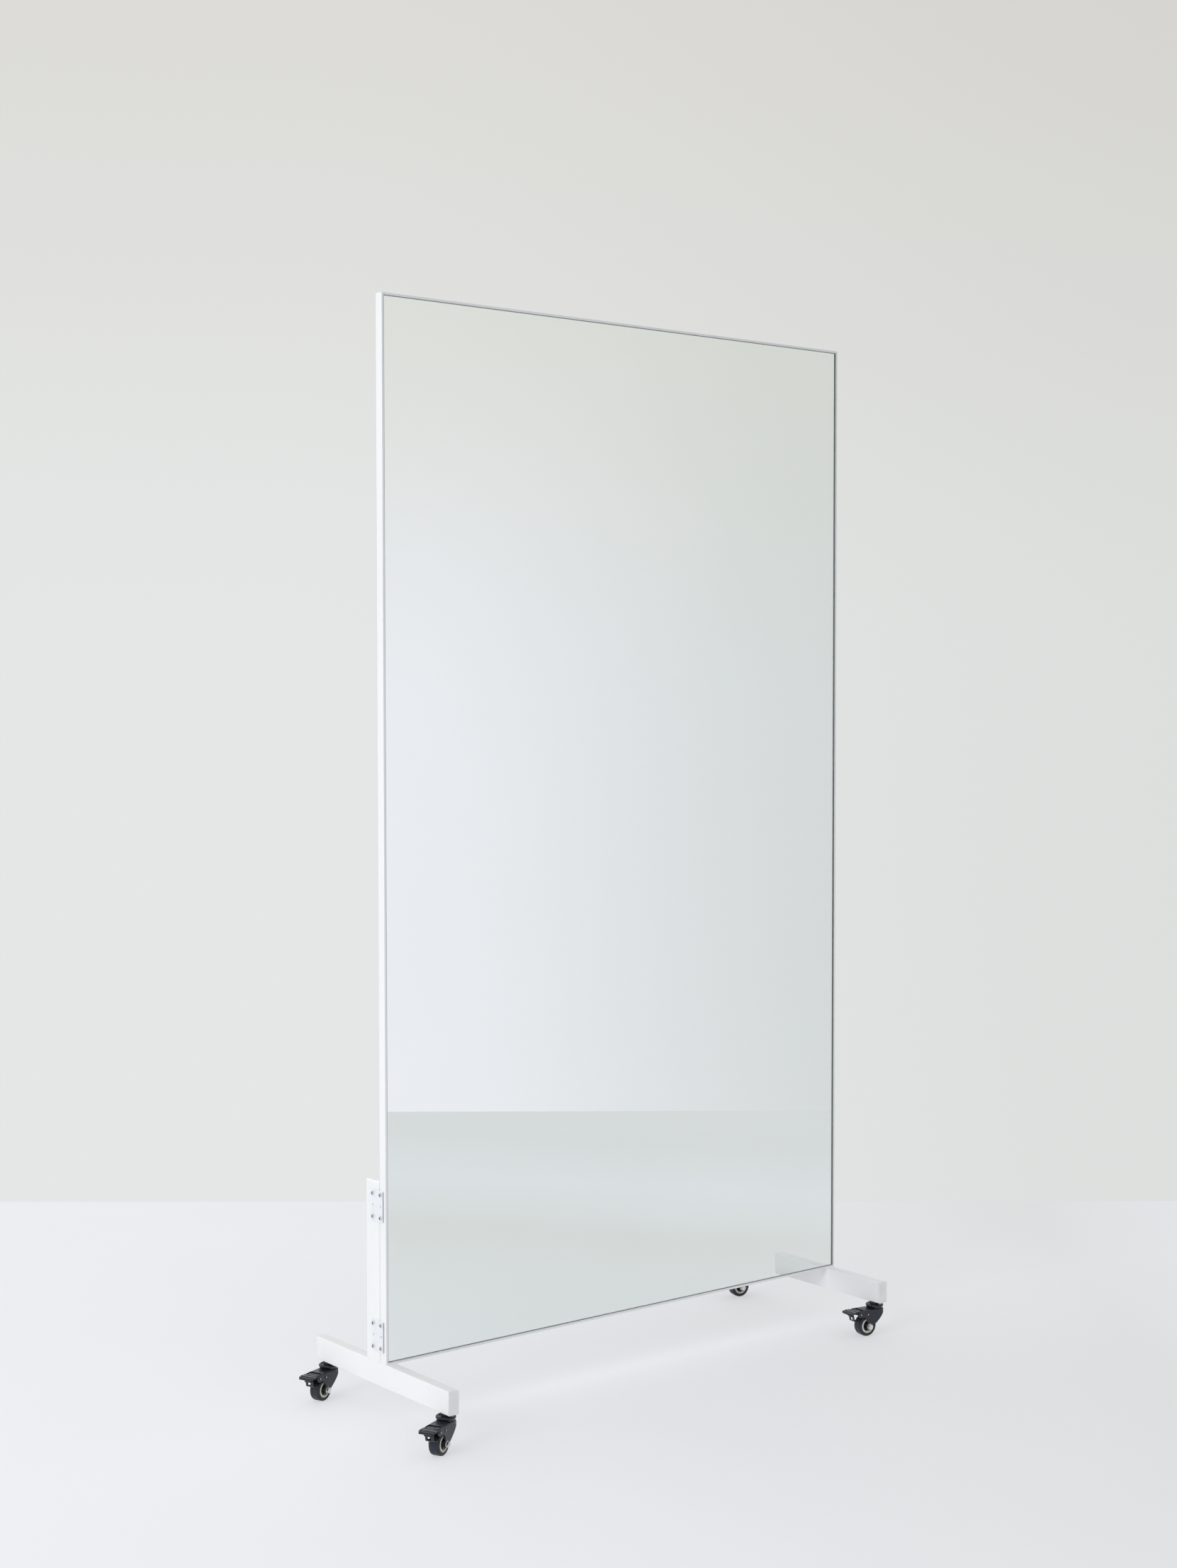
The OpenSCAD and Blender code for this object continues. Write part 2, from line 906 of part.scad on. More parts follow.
module fork() {
    color("dimgrey")
        difference() {
            union() {
                // Side walls and the closed front
                intersection() {
                    linear_extrude(fork_top_z)
                        difference() {
                            fork_plan(fork_w / 2, fork_nose_r, fork_back_u);
                            fork_plan(fork_in, fork_nose_r - fork_t, fork_back_u + eps);
                        }
                    across(-fork_w, fork_w)
                        fork_side();
                }
                // Top plate
                translate([0, 0, fork_plate_z])
                    linear_extrude(fork_t)
                        fork_plan(fork_w / 2, fork_nose_r, plate_end_u);
                // Lower ball race
                translate([0, 0, fork_top_z - eps])
                    rotate_extrude()
                        translate([ball_circle_d / 2 - race_w / 2, 0])
                            square([race_w, race_h + eps]);
            }
            rotate_extrude()
                translate([ball_circle_d / 2, ball_z])
                    circle(groove_r);
            translate([0, 0, fork_plate_z - eps])
                cylinder(h = fork_t + 2 * eps, r = stem_bore_r);
            across(-fork_w, fork_w)
                translate([trail, wheel_r])
                    circle(d = axle_d + 2 * run_gap);
            across(-fork_w, fork_w)
                translate([pivot_u, pivot_z])
                    circle(d = pivot_d + 2 * run_gap);
            across(-fork_w, fork_w)
                translate([stop_u, stop_z])
                    circle(d = stop_d + 2 * run_gap);
        }
}

// Axle bolt and its flanged nut
module axle() {
    out = fork_w / 2 + run_gap;
    nut_out = out + axle_nut_flange_t + axle_nut_h;
    color("silver") {
        across(-out, nut_out + axle_tail)
            translate([trail, wheel_r])
                circle(d = axle_d);
        across(-out - axle_head_h, -out)
            translate([trail, wheel_r])
                circle(d = axle_hex / cos(30), $fn = 6);
        across(out, out + axle_nut_flange_t)
            translate([trail, wheel_r])
                difference() {
                    circle(d = axle_hex / cos(30) + nut_round);
                    circle(d = axle_d + 2 * thread_gap);
                }
        across(out + axle_nut_flange_t, nut_out)
            translate([trail, wheel_r])
                difference() {
                    circle(d = axle_hex / cos(30), $fn = 6);
                    circle(d = axle_d + 2 * thread_gap);
                }
    }
}

// Pale wheel core
module hub() {
    rim_half = wheel_w / 2 - hub_inset;
    color("beige")
        about_axle() {
            translate([hub_d / 2 - hub_rim_t, -rim_half])
                square([hub_rim_t, 2 * rim_half]);
            translate([hub_boss_d / 2 - eps, -hub_web_t / 2])
                square([hub_d / 2 - hub_rim_t - hub_boss_d / 2 + 2 * eps, hub_web_t]);
            translate([axle_d / 2 + run_gap, -hub_half])
                square([hub_boss_d / 2 - axle_d / 2 - run_gap, 2 * hub_half]);
        }
}

// Tyre with rounded shoulders
module tyre() {
    flat_r = wheel_r - tyre_shoulder_r;
    flat_half = wheel_w / 2 - tyre_shoulder_r;
    color("black")
        about_axle() {
            translate([hub_d / 2, -wheel_w / 2])
                square([flat_r - hub_d / 2, wheel_w]);
            translate([hub_d / 2, -flat_half])
                square([wheel_r - hub_d / 2, 2 * flat_half]);
            for (s = [-1, 1])
                translate([flat_r, s * flat_half])
                    circle(tyre_shoulder_r);
        }
}

// Pedal with ribs, a rounded tip and two cheeks on the pivot
module brake_lever() {
    corner_u = tip_u - pedal_corner_r;
    corner_v = pedal_w / 2 - pedal_corner_r;
    color("dimgrey")
        difference() {
            union() {
                translate([0, 0, pedal_z])
                    linear_extrude(pedal_t) {
                        translate([pedal_start_u, -cheek_out])
                            square([pedal_wide_u + eps - pedal_start_u, 2 * cheek_out]);
                        translate([pedal_wide_u, -pedal_w / 2])
                            square([corner_u - pedal_wide_u, pedal_w]);
                        translate([corner_u, -corner_v])
                            square([pedal_corner_r, 2 * corner_v]);
                        for (s = [-1, 1])
                            translate([corner_u, s * corner_v])
                                circle(pedal_corner_r);
                    }
                for (i = [0 : rib_count - 1])
                    translate([
                        pivot_u + rib_first + i * rib_pitch,
                        -cheek_out + rib_margin,
                        pedal_z + pedal_t - eps
                    ])
                        cube([rib_w, 2 * (cheek_out - rib_margin), rib_h + eps]);
                across(-corner_v, corner_v)
                    translate([tip_u, pedal_z + pedal_t - tip_r + tip_rise])
                        circle(tip_r);
                for (v = [-cheek_out, cheek_out - cheek_t])
                    across(v, v + cheek_t) {
                        polygon([
                            [pivot_u - cheek_r, pivot_z],
                            [pivot_u + cheek_r, pivot_z],
                            [tip_u - cheek_run, pedal_z + eps],
                            [pedal_start_u, pedal_z + eps]
                        ]);
                        translate([pivot_u, pivot_z])
                            circle(cheek_r);
                    }
            }
            across(-fork_w, fork_w)
                translate([pivot_u, pivot_z])
                    circle(d = pivot_d + 2 * run_gap);
        }
}

// Bent strip under the pedal with a round pad toward the tyre
module brake_shoe() {
    color("dimgrey")
        difference() {
            across(-shoe_w / 2, shoe_w / 2) {
                polygon([
                    [hook_u + hook_lean, pedal_z],
                    [hook_u - hook_lean - shoe_t, pedal_z],
                    [hook_u - shoe_t, hook_z + shoe_t],
                    [pad_u, pad_z + shoe_t / 2],
                    [pad_u, pad_z - shoe_t / 2],
                    [hook_u, hook_z]
                ]);
                translate([hook_u + 2 * hook_lean, pedal_z - hook_bend_r])
                    circle(hook_bend_r);
                translate([pad_u, pad_z])
                    circle(pad_r);
            }
            translate([hook_u - window_reach, -shoe_window_w / 2, hook_z + shoe_t])
                cube([
                    2 * window_reach,
                    shoe_window_w,
                    pedal_z - hook_z - 2 * shoe_t - window_top_gap
                ]);
        }
}

// A headed pin across the fork
module fork_pin(u, z, d) {
    out = fork_w / 2 + run_gap;
    across(-out - pin_tail, out + pin_tail)
        translate([u, z])
            circle(d = d);
    for (v = [-out - pin_head_t, out])
        across(v, v + pin_head_t)
            translate([u, z])
                circle(d = d + 2 * pin_head_rim);
}

module brake_pins() {
    color("silver") {
        fork_pin(pivot_u, pivot_z, pivot_d);
        fork_pin(stop_u, stop_z, stop_d);
    }
}

// ---------- the four casters ----------

module lf_cup() {
    at_caster(-1, -1, lf_heading)
        cup();
}

module lf_fork() {
    at_caster(-1, -1, lf_heading)
        fork();
}

module lf_axle() {
    at_caster(-1, -1, lf_heading)
        axle();
}

module lf_hub() {
    at_caster(-1, -1, lf_heading)
        hub();
}

module lf_tyre() {
    at_caster(-1, -1, lf_heading)
        tyre();
}

module lf_brake_lever() {
    at_caster(-1, -1, lf_heading)
        brake_lever();
}

module lf_brake_shoe() {
    at_caster(-1, -1, lf_heading)
        brake_shoe();
}

module lf_brake_pins() {
    at_caster(-1, -1, lf_heading)
        brake_pins();
}

module lr_cup() {
    at_caster(-1, 1, lr_heading)
        cup();
}

module lr_fork() {
    at_caster(-1, 1, lr_heading)
        fork();
}

module lr_axle() {
    at_caster(-1, 1, lr_heading)
        axle();
}

module lr_hub() {
    at_caster(-1, 1, lr_heading)
        hub();
}

module lr_tyre() {
    at_caster(-1, 1, lr_heading)
        tyre();
}

module lr_brake_lever() {
    at_caster(-1, 1, lr_heading)
        brake_lever();
}

module lr_brake_shoe() {
    at_caster(-1, 1, lr_heading)
        brake_shoe();
}

module lr_brake_pins() {
    at_caster(-1, 1, lr_heading)
        brake_pins();
}

module rf_cup() {
    at_caster(1, -1, rf_heading)
        cup();
}

module rf_fork() {
    at_caster(1, -1, rf_heading)
        fork();
}

module rf_axle() {
    at_caster(1, -1, rf_heading)
        axle();
}

module rf_hub() {
    at_caster(1, -1, rf_heading)
        hub();
}

module rf_tyre() {
    at_caster(1, -1, rf_heading)
        tyre();
}

module rf_brake_lever() {
    at_caster(1, -1, rf_heading)
        brake_lever();
}

module rf_brake_shoe() {
    at_caster(1, -1, rf_heading)
        brake_shoe();
}

module rf_brake_pins() {
    at_caster(1, -1, rf_heading)
        brake_pins();
}

module rr_cup() {
    at_caster(1, 1, rr_heading)
        cup();
}

module rr_fork() {
    at_caster(1, 1, rr_heading)
        fork();
}

module rr_axle() {
    at_caster(1, 1, rr_heading)
        axle();
}

module rr_hub() {
    at_caster(1, 1, rr_heading)
        hub();
}

module rr_tyre() {
    at_caster(1, 1, rr_heading)
        tyre();
}

module rr_brake_lever() {
    at_caster(1, 1, rr_heading)
        brake_lever();
}

module rr_brake_shoe() {
    at_caster(1, 1, rr_heading)
        brake_shoe();
}

module rr_brake_pins() {
    at_caster(1, 1, rr_heading)
        brake_pins();
}

mirror_glass();
silvering();
mounting_tape();
back_board();
frame_left_stile();
frame_right_stile();
frame_top_rail();
frame_bottom_rail();
board_screws();
left_foot();
right_foot();
weld_nuts();
left_foot_plugs();
right_foot_plugs();
left_post();
right_post();
post_plugs();
left_upper_plate();
left_lower_plate();
right_upper_plate();
right_lower_plate();
plate_screws();
caster_stems();
lock_nuts();
swivel_balls();

lf_cup();
lf_fork();
lf_axle();
lf_hub();
lf_tyre();
lf_brake_lever();
lf_brake_shoe();
lf_brake_pins();

lr_cup();
lr_fork();
lr_axle();
lr_hub();
lr_tyre();
lr_brake_lever();
lr_brake_shoe();
lr_brake_pins();

rf_cup();
rf_fork();
rf_axle();
rf_hub();
rf_tyre();
rf_brake_lever();
rf_brake_shoe();
rf_brake_pins();

rr_cup();
rr_fork();
rr_axle();
rr_hub();
rr_tyre();
rr_brake_lever();
rr_brake_shoe();
rr_brake_pins();
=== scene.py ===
import bpy
import bmesh
import json
import math
from mathutils import Matrix, Vector


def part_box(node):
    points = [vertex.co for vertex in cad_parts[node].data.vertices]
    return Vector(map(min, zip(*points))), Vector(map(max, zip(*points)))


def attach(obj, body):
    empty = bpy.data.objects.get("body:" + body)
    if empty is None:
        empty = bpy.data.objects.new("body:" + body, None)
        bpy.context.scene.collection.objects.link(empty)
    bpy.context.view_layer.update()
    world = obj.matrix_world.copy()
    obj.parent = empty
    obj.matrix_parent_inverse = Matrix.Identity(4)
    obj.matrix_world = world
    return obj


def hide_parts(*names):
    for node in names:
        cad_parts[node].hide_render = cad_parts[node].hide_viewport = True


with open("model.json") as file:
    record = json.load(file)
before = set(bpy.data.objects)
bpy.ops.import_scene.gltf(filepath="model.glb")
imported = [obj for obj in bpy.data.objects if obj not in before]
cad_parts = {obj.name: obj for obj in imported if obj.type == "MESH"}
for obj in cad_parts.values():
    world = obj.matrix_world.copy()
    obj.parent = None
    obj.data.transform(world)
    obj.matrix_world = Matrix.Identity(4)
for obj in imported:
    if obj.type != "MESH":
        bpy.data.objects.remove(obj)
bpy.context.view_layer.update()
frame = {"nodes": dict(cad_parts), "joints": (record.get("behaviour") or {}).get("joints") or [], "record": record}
NODES = frame["nodes"]
CORNERS = ("lf", "lr", "rf", "rr")
FRAME_BARS = ("frame_left_stile", "frame_right_stile", "frame_top_rail", "frame_bottom_rail")
PLUGS = ("left_foot_plugs", "right_foot_plugs", "post_plugs")
PLATES = ("left_upper_plate", "left_lower_plate", "right_upper_plate", "right_lower_plate")
MM = 0.001

# ---------- camera ----------
# Place, angles and focal length were fitted to the photograph.
EYE = (-2.57088781, -3.17643587, 1.23120292)
YAW, PITCH, ROLL = 0.6690394961, 0.0400522171, -0.0008529172
FOCAL_PX, LONG_SIDE_PX = 3166.741845, 2212
SENSOR_MM = 36
CLIP = (0.05, 200)

forward = Vector((
    math.sin(YAW) * math.cos(PITCH),
    math.cos(YAW) * math.cos(PITCH),
    -math.sin(PITCH),
))
flat_right = Vector((math.cos(YAW), -math.sin(YAW), 0))
flat_up = flat_right.cross(forward)
right = flat_right * math.cos(ROLL) + flat_up * math.sin(ROLL)
up = flat_up * math.cos(ROLL) - flat_right * math.sin(ROLL)

cam_data = bpy.data.cameras.new("camera")
cam_data.sensor_width = SENSOR_MM
cam_data.lens = SENSOR_MM * FOCAL_PX / LONG_SIDE_PX
cam_data.clip_start, cam_data.clip_end = CLIP
camera = bpy.data.objects.new("camera", cam_data)
bpy.context.scene.collection.objects.link(camera)
camera.matrix_world = Matrix((
    (right.x, up.x, -forward.x, EYE[0]),
    (right.y, up.y, -forward.y, EYE[1]),
    (right.z, up.z, -forward.z, EYE[2]),
    (0, 0, 0, 1),
))
bpy.context.scene.camera = camera


# ---------- shader helpers ----------
def set_stops(band, stops):
    """Fills a new colour ramp, which starts with two stops, from (place, colour) pairs."""
    for i, (place, colour) in enumerate(stops):
        stop = band.elements[i] if i < 2 else band.elements.new(place)
        stop.position = place
        stop.color = (*colour, 1)


class Shader:
    """A material's node tree, with short calls for the nodes used here."""

    def __init__(self, name):
        self.material = bpy.data.materials.new(name)
        self.material.use_nodes = True
        self.tree = self.material.node_tree
        self.bsdf = self.tree.nodes["Principled BSDF"]
        self.out = self.tree.nodes["Material Output"]
        self.coord = self.add("ShaderNodeTexCoord").outputs["Object"]

    def add(self, kind, **values):
        node = self.tree.nodes.new(kind)
        for key, value in values.items():
            setattr(node, key, value)
        return node

    def link(self, a, b):
        self.tree.links.new(a, b)

    def set(self, **values):
        for key, value in values.items():
            self.bsdf.inputs[key.replace("_", " ")].default_value = value
        return self

    def noise(self, scale, detail=3.0, rough=0.55, stretch=None):
        source = self.coord
        if stretch:
            mapping = self.add("ShaderNodeMapping")
            mapping.inputs["Scale"].default_value = stretch
            self.link(source, mapping.inputs["Vector"])
            source = mapping.outputs["Vector"]
        node = self.add("ShaderNodeTexNoise")
        node.inputs["Scale"].default_value = scale
        node.inputs["Detail"].default_value = detail
        node.inputs["Roughness"].default_value = rough
        self.link(source, node.inputs["Vector"])
        return node.outputs["Fac"]

    def ramp(self, fac, stops):
        node = self.add("ShaderNodeValToRGB")
        set_stops(node.color_ramp, stops)
        self.link(fac, node.inputs["Fac"])
        return node.outputs["Color"]

    def remap(self, fac, low, high, start=0.3, end=0.7):
        node = self.add("ShaderNodeMapRange")
        node.inputs["From Min"].default_value = start
        node.inputs["From Max"].default_value = end
        node.inputs["To Min"].default_value = low
        node.inputs["To Max"].default_value = high
        self.link(fac, node.inputs["Value"])
        return node.outputs["Result"]

    def math(self, kind, a, b):
        node = self.add("ShaderNodeMath", operation=kind)
        for slot, value in enumerate((a, b)):
            if isinstance(value, (int, float)):
                node.inputs[slot].default_value = value
            else:
                self.link(value, node.inputs[slot])
        return node.outputs[0]

    def mix(self, fac, a, b):
        node = self.add("ShaderNodeMix", data_type="RGBA")
        for name, value in (("Factor", fac), ("A", a), ("B", b)):
            slot = [s for s in node.inputs if s.name == name and s.enabled][0]
            if isinstance(value, tuple):
                slot.default_value = (*value, 1)
            elif isinstance(value, (int, float)):
                slot.default_value = value
            else:
                self.link(value, slot)
        return [s for s in node.outputs if s.enabled][0]

    def colour(self, value):
        self.link(value, self.bsdf.inputs["Base Color"])

    def rough(self, value):
        self.link(value, self.bsdf.inputs["Roughness"])

    def bump(self, height, distance, strength):
        node = self.add("ShaderNodeBump")
        node.inputs["Strength"].default_value = strength
        node.inputs["Distance"].default_value = distance
        self.link(height, node.inputs["Height"])
        self.link(node.outputs["Normal"], self.bsdf.inputs["Normal"])

    def edges(self, low, high):
        """1 on sharp outer edges, 0 elsewhere."""
        node = self.add("ShaderNodeNewGeometry")
        return self.remap(node.outputs["Pointiness"], 0, 1, low, high)


def white_paint():
    """Powder coat: fine orange peel and faint unevenness."""
    s = Shader("white_paint").set(Specular_IOR_Level=0.35)
    cloud = s.noise(4, 4)
    grain = s.noise(1400, 2)
    peel = s.noise(620, 2, 0.4)
    tint = s.ramp(cloud, [(0.3, (0.86, 0.868, 0.878)), (0.7, (0.9, 0.906, 0.914))])
    s.colour(s.mix(s.remap(grain, 0, 0.06), tint, (0.8, 0.81, 0.83)))
    s.rough(s.remap(s.noise(35, 3), 0.34, 0.44))
    skin = s.math("ADD", s.math("MULTIPLY", peel, 0.8), s.math("MULTIPLY", grain, 0.2))
    s.bump(skin, 0.00006, 0.55)
    return s.material


def white_plastic(name="white_plastic", low=(0.83, 0.845, 0.84), high=(0.88, 0.89, 0.885)):
    """Moulded plug: satin, fine spark-eroded grain."""
    s = Shader(name).set(Specular_IOR_Level=0.15)
    s.colour(s.ramp(s.noise(60, 3), [(0.3, low), (0.7, high)]))
    s.rough(s.remap(s.noise(240, 2), 0.46, 0.58))
    s.bump(s.noise(2600, 2, 0.5), 0.00008, 0.6)
    return s.material


def zinc():
    """Bright zinc plate with a faint blue passivation and rolling marks."""
    s = Shader("zinc").set(Metallic=0.4)
    cloud = s.noise(90, 4)
    streak = s.noise(700, 3, 0.6, stretch=(1, 1, 0.04))
    s.colour(s.ramp(cloud, [
        (0.3, (0.86, 0.885, 0.915)),
        (0.55, (0.9, 0.92, 0.94)),
        (0.75, (0.93, 0.94, 0.945)),
    ]))
    s.rough(s.math("ADD", s.remap(cloud, 0.24, 0.36), s.remap(streak, -0.03, 0.06)))
    s.bump(streak, 0.000015, 0.4)
    return s.material


def steel(name, base, rough):
    """Bare, plated or blackened steel, with faint clouds."""
    s = Shader(name).set(Metallic=1.0)
    cloud = s.noise(220, 4)
    low = tuple(c * 0.86 for c in base)
    s.colour(s.mix(s.remap(cloud, 0, 1), low, base))
    s.rough(s.remap(s.noise(500, 3), rough - 0.05, rough + 0.08))
    s.bump(s.noise(1500, 3), 0.00004, 0.5)
    return s.material


def black_steel():
    """Glossy black coat on pressed steel, lighter on its sharp edges: partly rubbed wear, partly a painted
    highlight.
    """
    s = Shader("black_steel").set(Specular_IOR_Level=0.5)
    cloud = s.noise(120, 4)
    base = s.ramp(cloud, [(0.3, (0.005, 0.0075, 0.0155)), (0.7, (0.009, 0.0125, 0.023))])
    # Sharp edges are mixed to grey: partly rubbed paint, partly a painted highlight that stands in for gloss on
    # the edges.
    wear_and_highlight = s.math("MULTIPLY", s.edges(0.52, 0.6), s.remap(s.noise(900, 3), 0.0, 0.5, 0.45, 0.7))
    s.colour(s.mix(wear_and_highlight, base, (0.14, 0.15, 0.185)))
    s.rough(s.remap(s.noise(260, 3), 0.2, 0.3))
    s.bump(s.noise(1700, 3, 0.5), 0.00003, 0.5)
    return s.material


def cream_plastic():
    """Wheel core: cream nylon."""
    s = Shader("cream_plastic").set(Specular_IOR_Level=0.5)
    s.colour(s.ramp(s.noise(160, 3), [(0.3, (0.63, 0.605, 0.535)), (0.7, (0.72, 0.7, 0.63))]))
    s.rough(s.remap(s.noise(400, 2), 0.34, 0.46))
    s.bump(s.noise(1200, 2), 0.00005, 0.5)
    return s.material


def tyre():
    """Smooth grey-black rubber, faintly dusty."""
    s = Shader("tyre").set(Specular_IOR_Level=0.45)
    cloud = s.noise(140, 4)
    base = s.ramp(cloud, [(0.3, (0.007, 0.0105, 0.018)), (0.7, (0.014, 0.0185, 0.032))])
    dust = s.remap(s.noise(60, 5, 0.7), 0.0, 0.16, 0.5, 0.75)
    s.colour(s.mix(dust, base, (0.12, 0.12, 0.125)))
    s.rough(s.remap(s.noise(300, 3), 0.36, 0.52))
    s.bump(s.noise(900, 4, 0.6), 0.00012, 0.6)
    return s.material


def board():
    """Fibreboard: brown, fine fibres."""
    s = Shader("board").set(Specular_IOR_Level=0.2)
    fibre = s.noise(420, 6, 0.7, stretch=(1, 1, 0.35))
    fleck = s.noise(1500, 3, 0.7)
    tint = s.ramp(fibre, [
        (0.25, (0.27, 0.18, 0.105)),
        (0.5, (0.36, 0.25, 0.15)),
        (0.75, (0.45, 0.33, 0.21)),
    ])
    s.colour(s.mix(s.remap(fleck, 0, 0.35), tint, (0.2, 0.125, 0.07)))
    s.rough(s.remap(fibre, 0.72, 0.9))
    s.bump(s.math("ADD", fibre, s.math("MULTIPLY", fleck, 0.5)), 0.0002, 0.6)
    return s.material


def tape():
    """Closed-cell foam tape."""
    s = Shader("tape").set(Specular_IOR_Level=0.2)
    cell = s.noise(1800, 3)
    s.colour(s.ramp(cell, [(0.3, (0.05, 0.05, 0.052)), (0.7, (0.09, 0.09, 0.092))]))
    s.rough(s.remap(cell, 0.75, 0.9))
    s.bump(cell, 0.0002, 0.8)
    return s.material


def silvering():
    """Silver film behind the glass."""
    s = Shader("mirror").set(Metallic=1.0, Roughness=0.0)
    s.colour(s.ramp(s.noise(2.2, 2), [
        (0.3, (0.95, 0.96, 0.957)),
        (0.7, (0.96, 0.967, 0.966)),
    ]))
    return s.material


def glass():
    """Faces of the float glass: clear, with a faint green."""
    s = Shader("glass").set(IOR=1.5, Transmission_Weight=1.0, Roughness=0.0)
    s.colour(s.ramp(s.noise(3, 2), [(0.3, (0.972, 0.988, 0.98)), (0.7, (0.978, 0.99, 0.984))]))
    return s.material


def glass_edge(name, low, high):
    """Ground edge of the glass, green with grinding marks."""
    s = Shader(name).set(Specular_IOR_Level=0.5)
    s.colour(s.ramp(s.noise(500, 4), [(0.3, low), (0.7, high)]))
    s.rough(s.remap(s.noise(900, 3), 0.3, 0.5))
    s.bump(s.noise(2400, 3), 0.00005, 0.6)
    return s.material


def bearing_cover():
    """Dark brown dust cover inside the wheel core."""
    s = Shader("bearing_cover").set(Specular_IOR_Level=0.4)
    s.colour(s.ramp(s.noise(300, 4), [(0.3, (0.018, 0.013, 0.011)), (0.7, (0.036, 0.026, 0.021))]))
    s.rough(s.remap(s.noise(500, 3), 0.4, 0.6))
    s.bump(s.noise(1500, 3), 0.00006, 0.6)
    return s.material


MATERIALS = {
    "glass": glass(),
    "mirror": silvering(),
    "tape": tape(),
    "board": board(),
    "white_paint": white_paint(),
    "white_plastic": white_plastic(),
    "zinc": zinc(),
    "steel": steel("steel", (0.62, 0.63, 0.64), 0.3),
    "bolt_steel": steel("bolt_steel", (0.8, 0.8, 0.81), 0.22),
    "black_steel": black_steel(),
    "cream_plastic": cream_plastic(),
    "tyre": tyre(),
}

SLOT_OF = {part["node"]: part["material_slot"] for part in frame["record"]["subparts"]}
for name, node in NODES.items():
    node.data.materials.clear()
    node.data.materials.append(MATERIALS[SLOT_OF[name]])
# The plugs of the posts get a paler copy of the plug plastic than those of the feet: painted light that makes up
# for the shade beside the stile.
NODES["post_plugs"].data.materials[0] = white_plastic(
    "post_plug_painted_lighter", (0.93, 0.945, 0.96), (0.96, 0.97, 0.98)
)


# ---------- softened edges on the CAD nodes ----------
WELD_WITHIN = 0.002 * MM


def round_edges(thing, width, degrees):
    """Rounds the edges that are sharper than an angle."""
    bevel = thing.modifiers.new("edges", "BEVEL")
    bevel.width = width
    bevel.segments = 2
    bevel.limit_method = "ANGLE"
    bevel.angle_limit = math.radians(degrees)
    bevel.harden_normals = True


def soften(name, width, degrees=32):
    """Joins the loose triangles of a CAD node and rounds its edges."""
    weld = NODES[name].modifiers.new("join", "WELD")
    weld.merge_threshold = WELD_WITHIN
    round_edges(NODES[name], width, degrees)


for names, width in ((FRAME_BARS, 0.5 * MM), (PLUGS, 0.6 * MM), (PLATES, 0.4 * MM)):
    for name in names:
        soften(name, width)

# ---------- plate edges painted darker (sheared steel and painted shade), black stem flanges, dark nuts ---
# The front and rear edge faces of the plates are darker grey: partly bare sheared steel, partly a painted shade
# line along the edge.
SHEARED_EDGE_SHADE = steel("sheared_edge_and_shade", (0.5, 0.5, 0.56), 0.45)
ON_SIDE = 0.1 * MM
for name in PLATES:
    plate = NODES[name].data
    plate.materials.append(SHEARED_EDGE_SHADE)
    sides = [corner.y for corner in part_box(name)]
    for face in plate.polygons:
        if min(abs(face.center.y - side) for side in sides) < ON_SIDE:
            face.material_index = 1

# Below this height a stem's flange and rivet head are black like the fork.
FLANGE_TOP = 60.2 * MM
stems = NODES["caster_stems"].data
stems.materials.append(MATERIALS["black_steel"])
for face in stems.polygons:
    if face.center.z < FLANGE_TOP:
        face.material_index = 1
DARK_NUT = steel("dark_nut", (0.1, 0.1, 0.115), 0.35)
NODES["lock_nuts"].data.materials.clear()
NODES["lock_nuts"].data.materials.append(DARK_NUT)


# ---------- pieces from bmeshes ----------
def shape(name, build, materials, body, smooth=True):
    """Makes a piece from a bmesh and lets it ride on a body."""
    mesh = bpy.data.meshes.new(name)
    bmesh.ops.recalc_face_normals(build, faces=build.faces)
    build.to_mesh(mesh)
    build.free()
    for material in materials:
        mesh.materials.append(material)
    for face in mesh.polygons:
        face.use_smooth = smooth
    piece = bpy.data.objects.new(name, mesh)
    bpy.context.scene.collection.objects.link(piece)
    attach(piece, body)
    return piece


# ---------- glass pane ----------
# Its rear stops a hair in front of the silver film, so that the two never share a face,
# and it reaches a little further into the gap around it than the solid does.
FILM_GAP = 0.06 * MM
SEAM = 0.3 * MM
EDGE_LAND = 0.4 * MM
low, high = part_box("mirror_glass")
low, high = low - Vector((SEAM, 0, SEAM)), high + Vector((SEAM, 0, SEAM))
pane = bmesh.new()
bmesh.ops.create_cube(pane, size=1)
for v in pane.verts:
    v.co = Vector((
        low.x if v.co.x < 0 else high.x,
        low.y if v.co.y < 0 else high.y - FILM_GAP,
        low.z if v.co.z < 0 else high.z,
    ))
bmesh.ops.bevel(pane, geom=list(pane.edges), offset=EDGE_LAND, segments=1, affect="EDGES")
# Clear front and rear; the ground edges are one green glass, painted paler above and below as light and darker at
# the sides as shade
for face in pane.faces:
    if abs(face.normal.y) > 0.99:
        face.material_index = 0
    else:
        face.material_index = 2 if abs(face.normal.z) > 0.5 else 1
# The same ground edge in two tones: the side edges painted darker as shade, the top and bottom paler as painted
# light.
SHADED_SIDE_EDGE = glass_edge("glass_side_edge_painted_shade", (0.26, 0.31, 0.295), (0.36, 0.42, 0.4))
LIT_TOP_BOTTOM_EDGE = glass_edge("glass_top_bottom_edge_painted_light", (0.64, 0.675, 0.66), (0.74, 0.775, 0.76))
PANE_MATERIALS = (MATERIALS["glass"], SHADED_SIDE_EDGE, LIT_TOP_BOTTOM_EDGE)
glass_pane = shape("glass_pane", pane, PANE_MATERIALS, "stand", False)
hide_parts("mirror_glass")

# ---------- caster pieces ----------
BLACK = MATERIALS["black_steel"]
PIN = steel("pin_steel", (0.5, 0.51, 0.54), 0.2)
COVER = bearing_cover()
CREAM = MATERIALS["cream_plastic"]


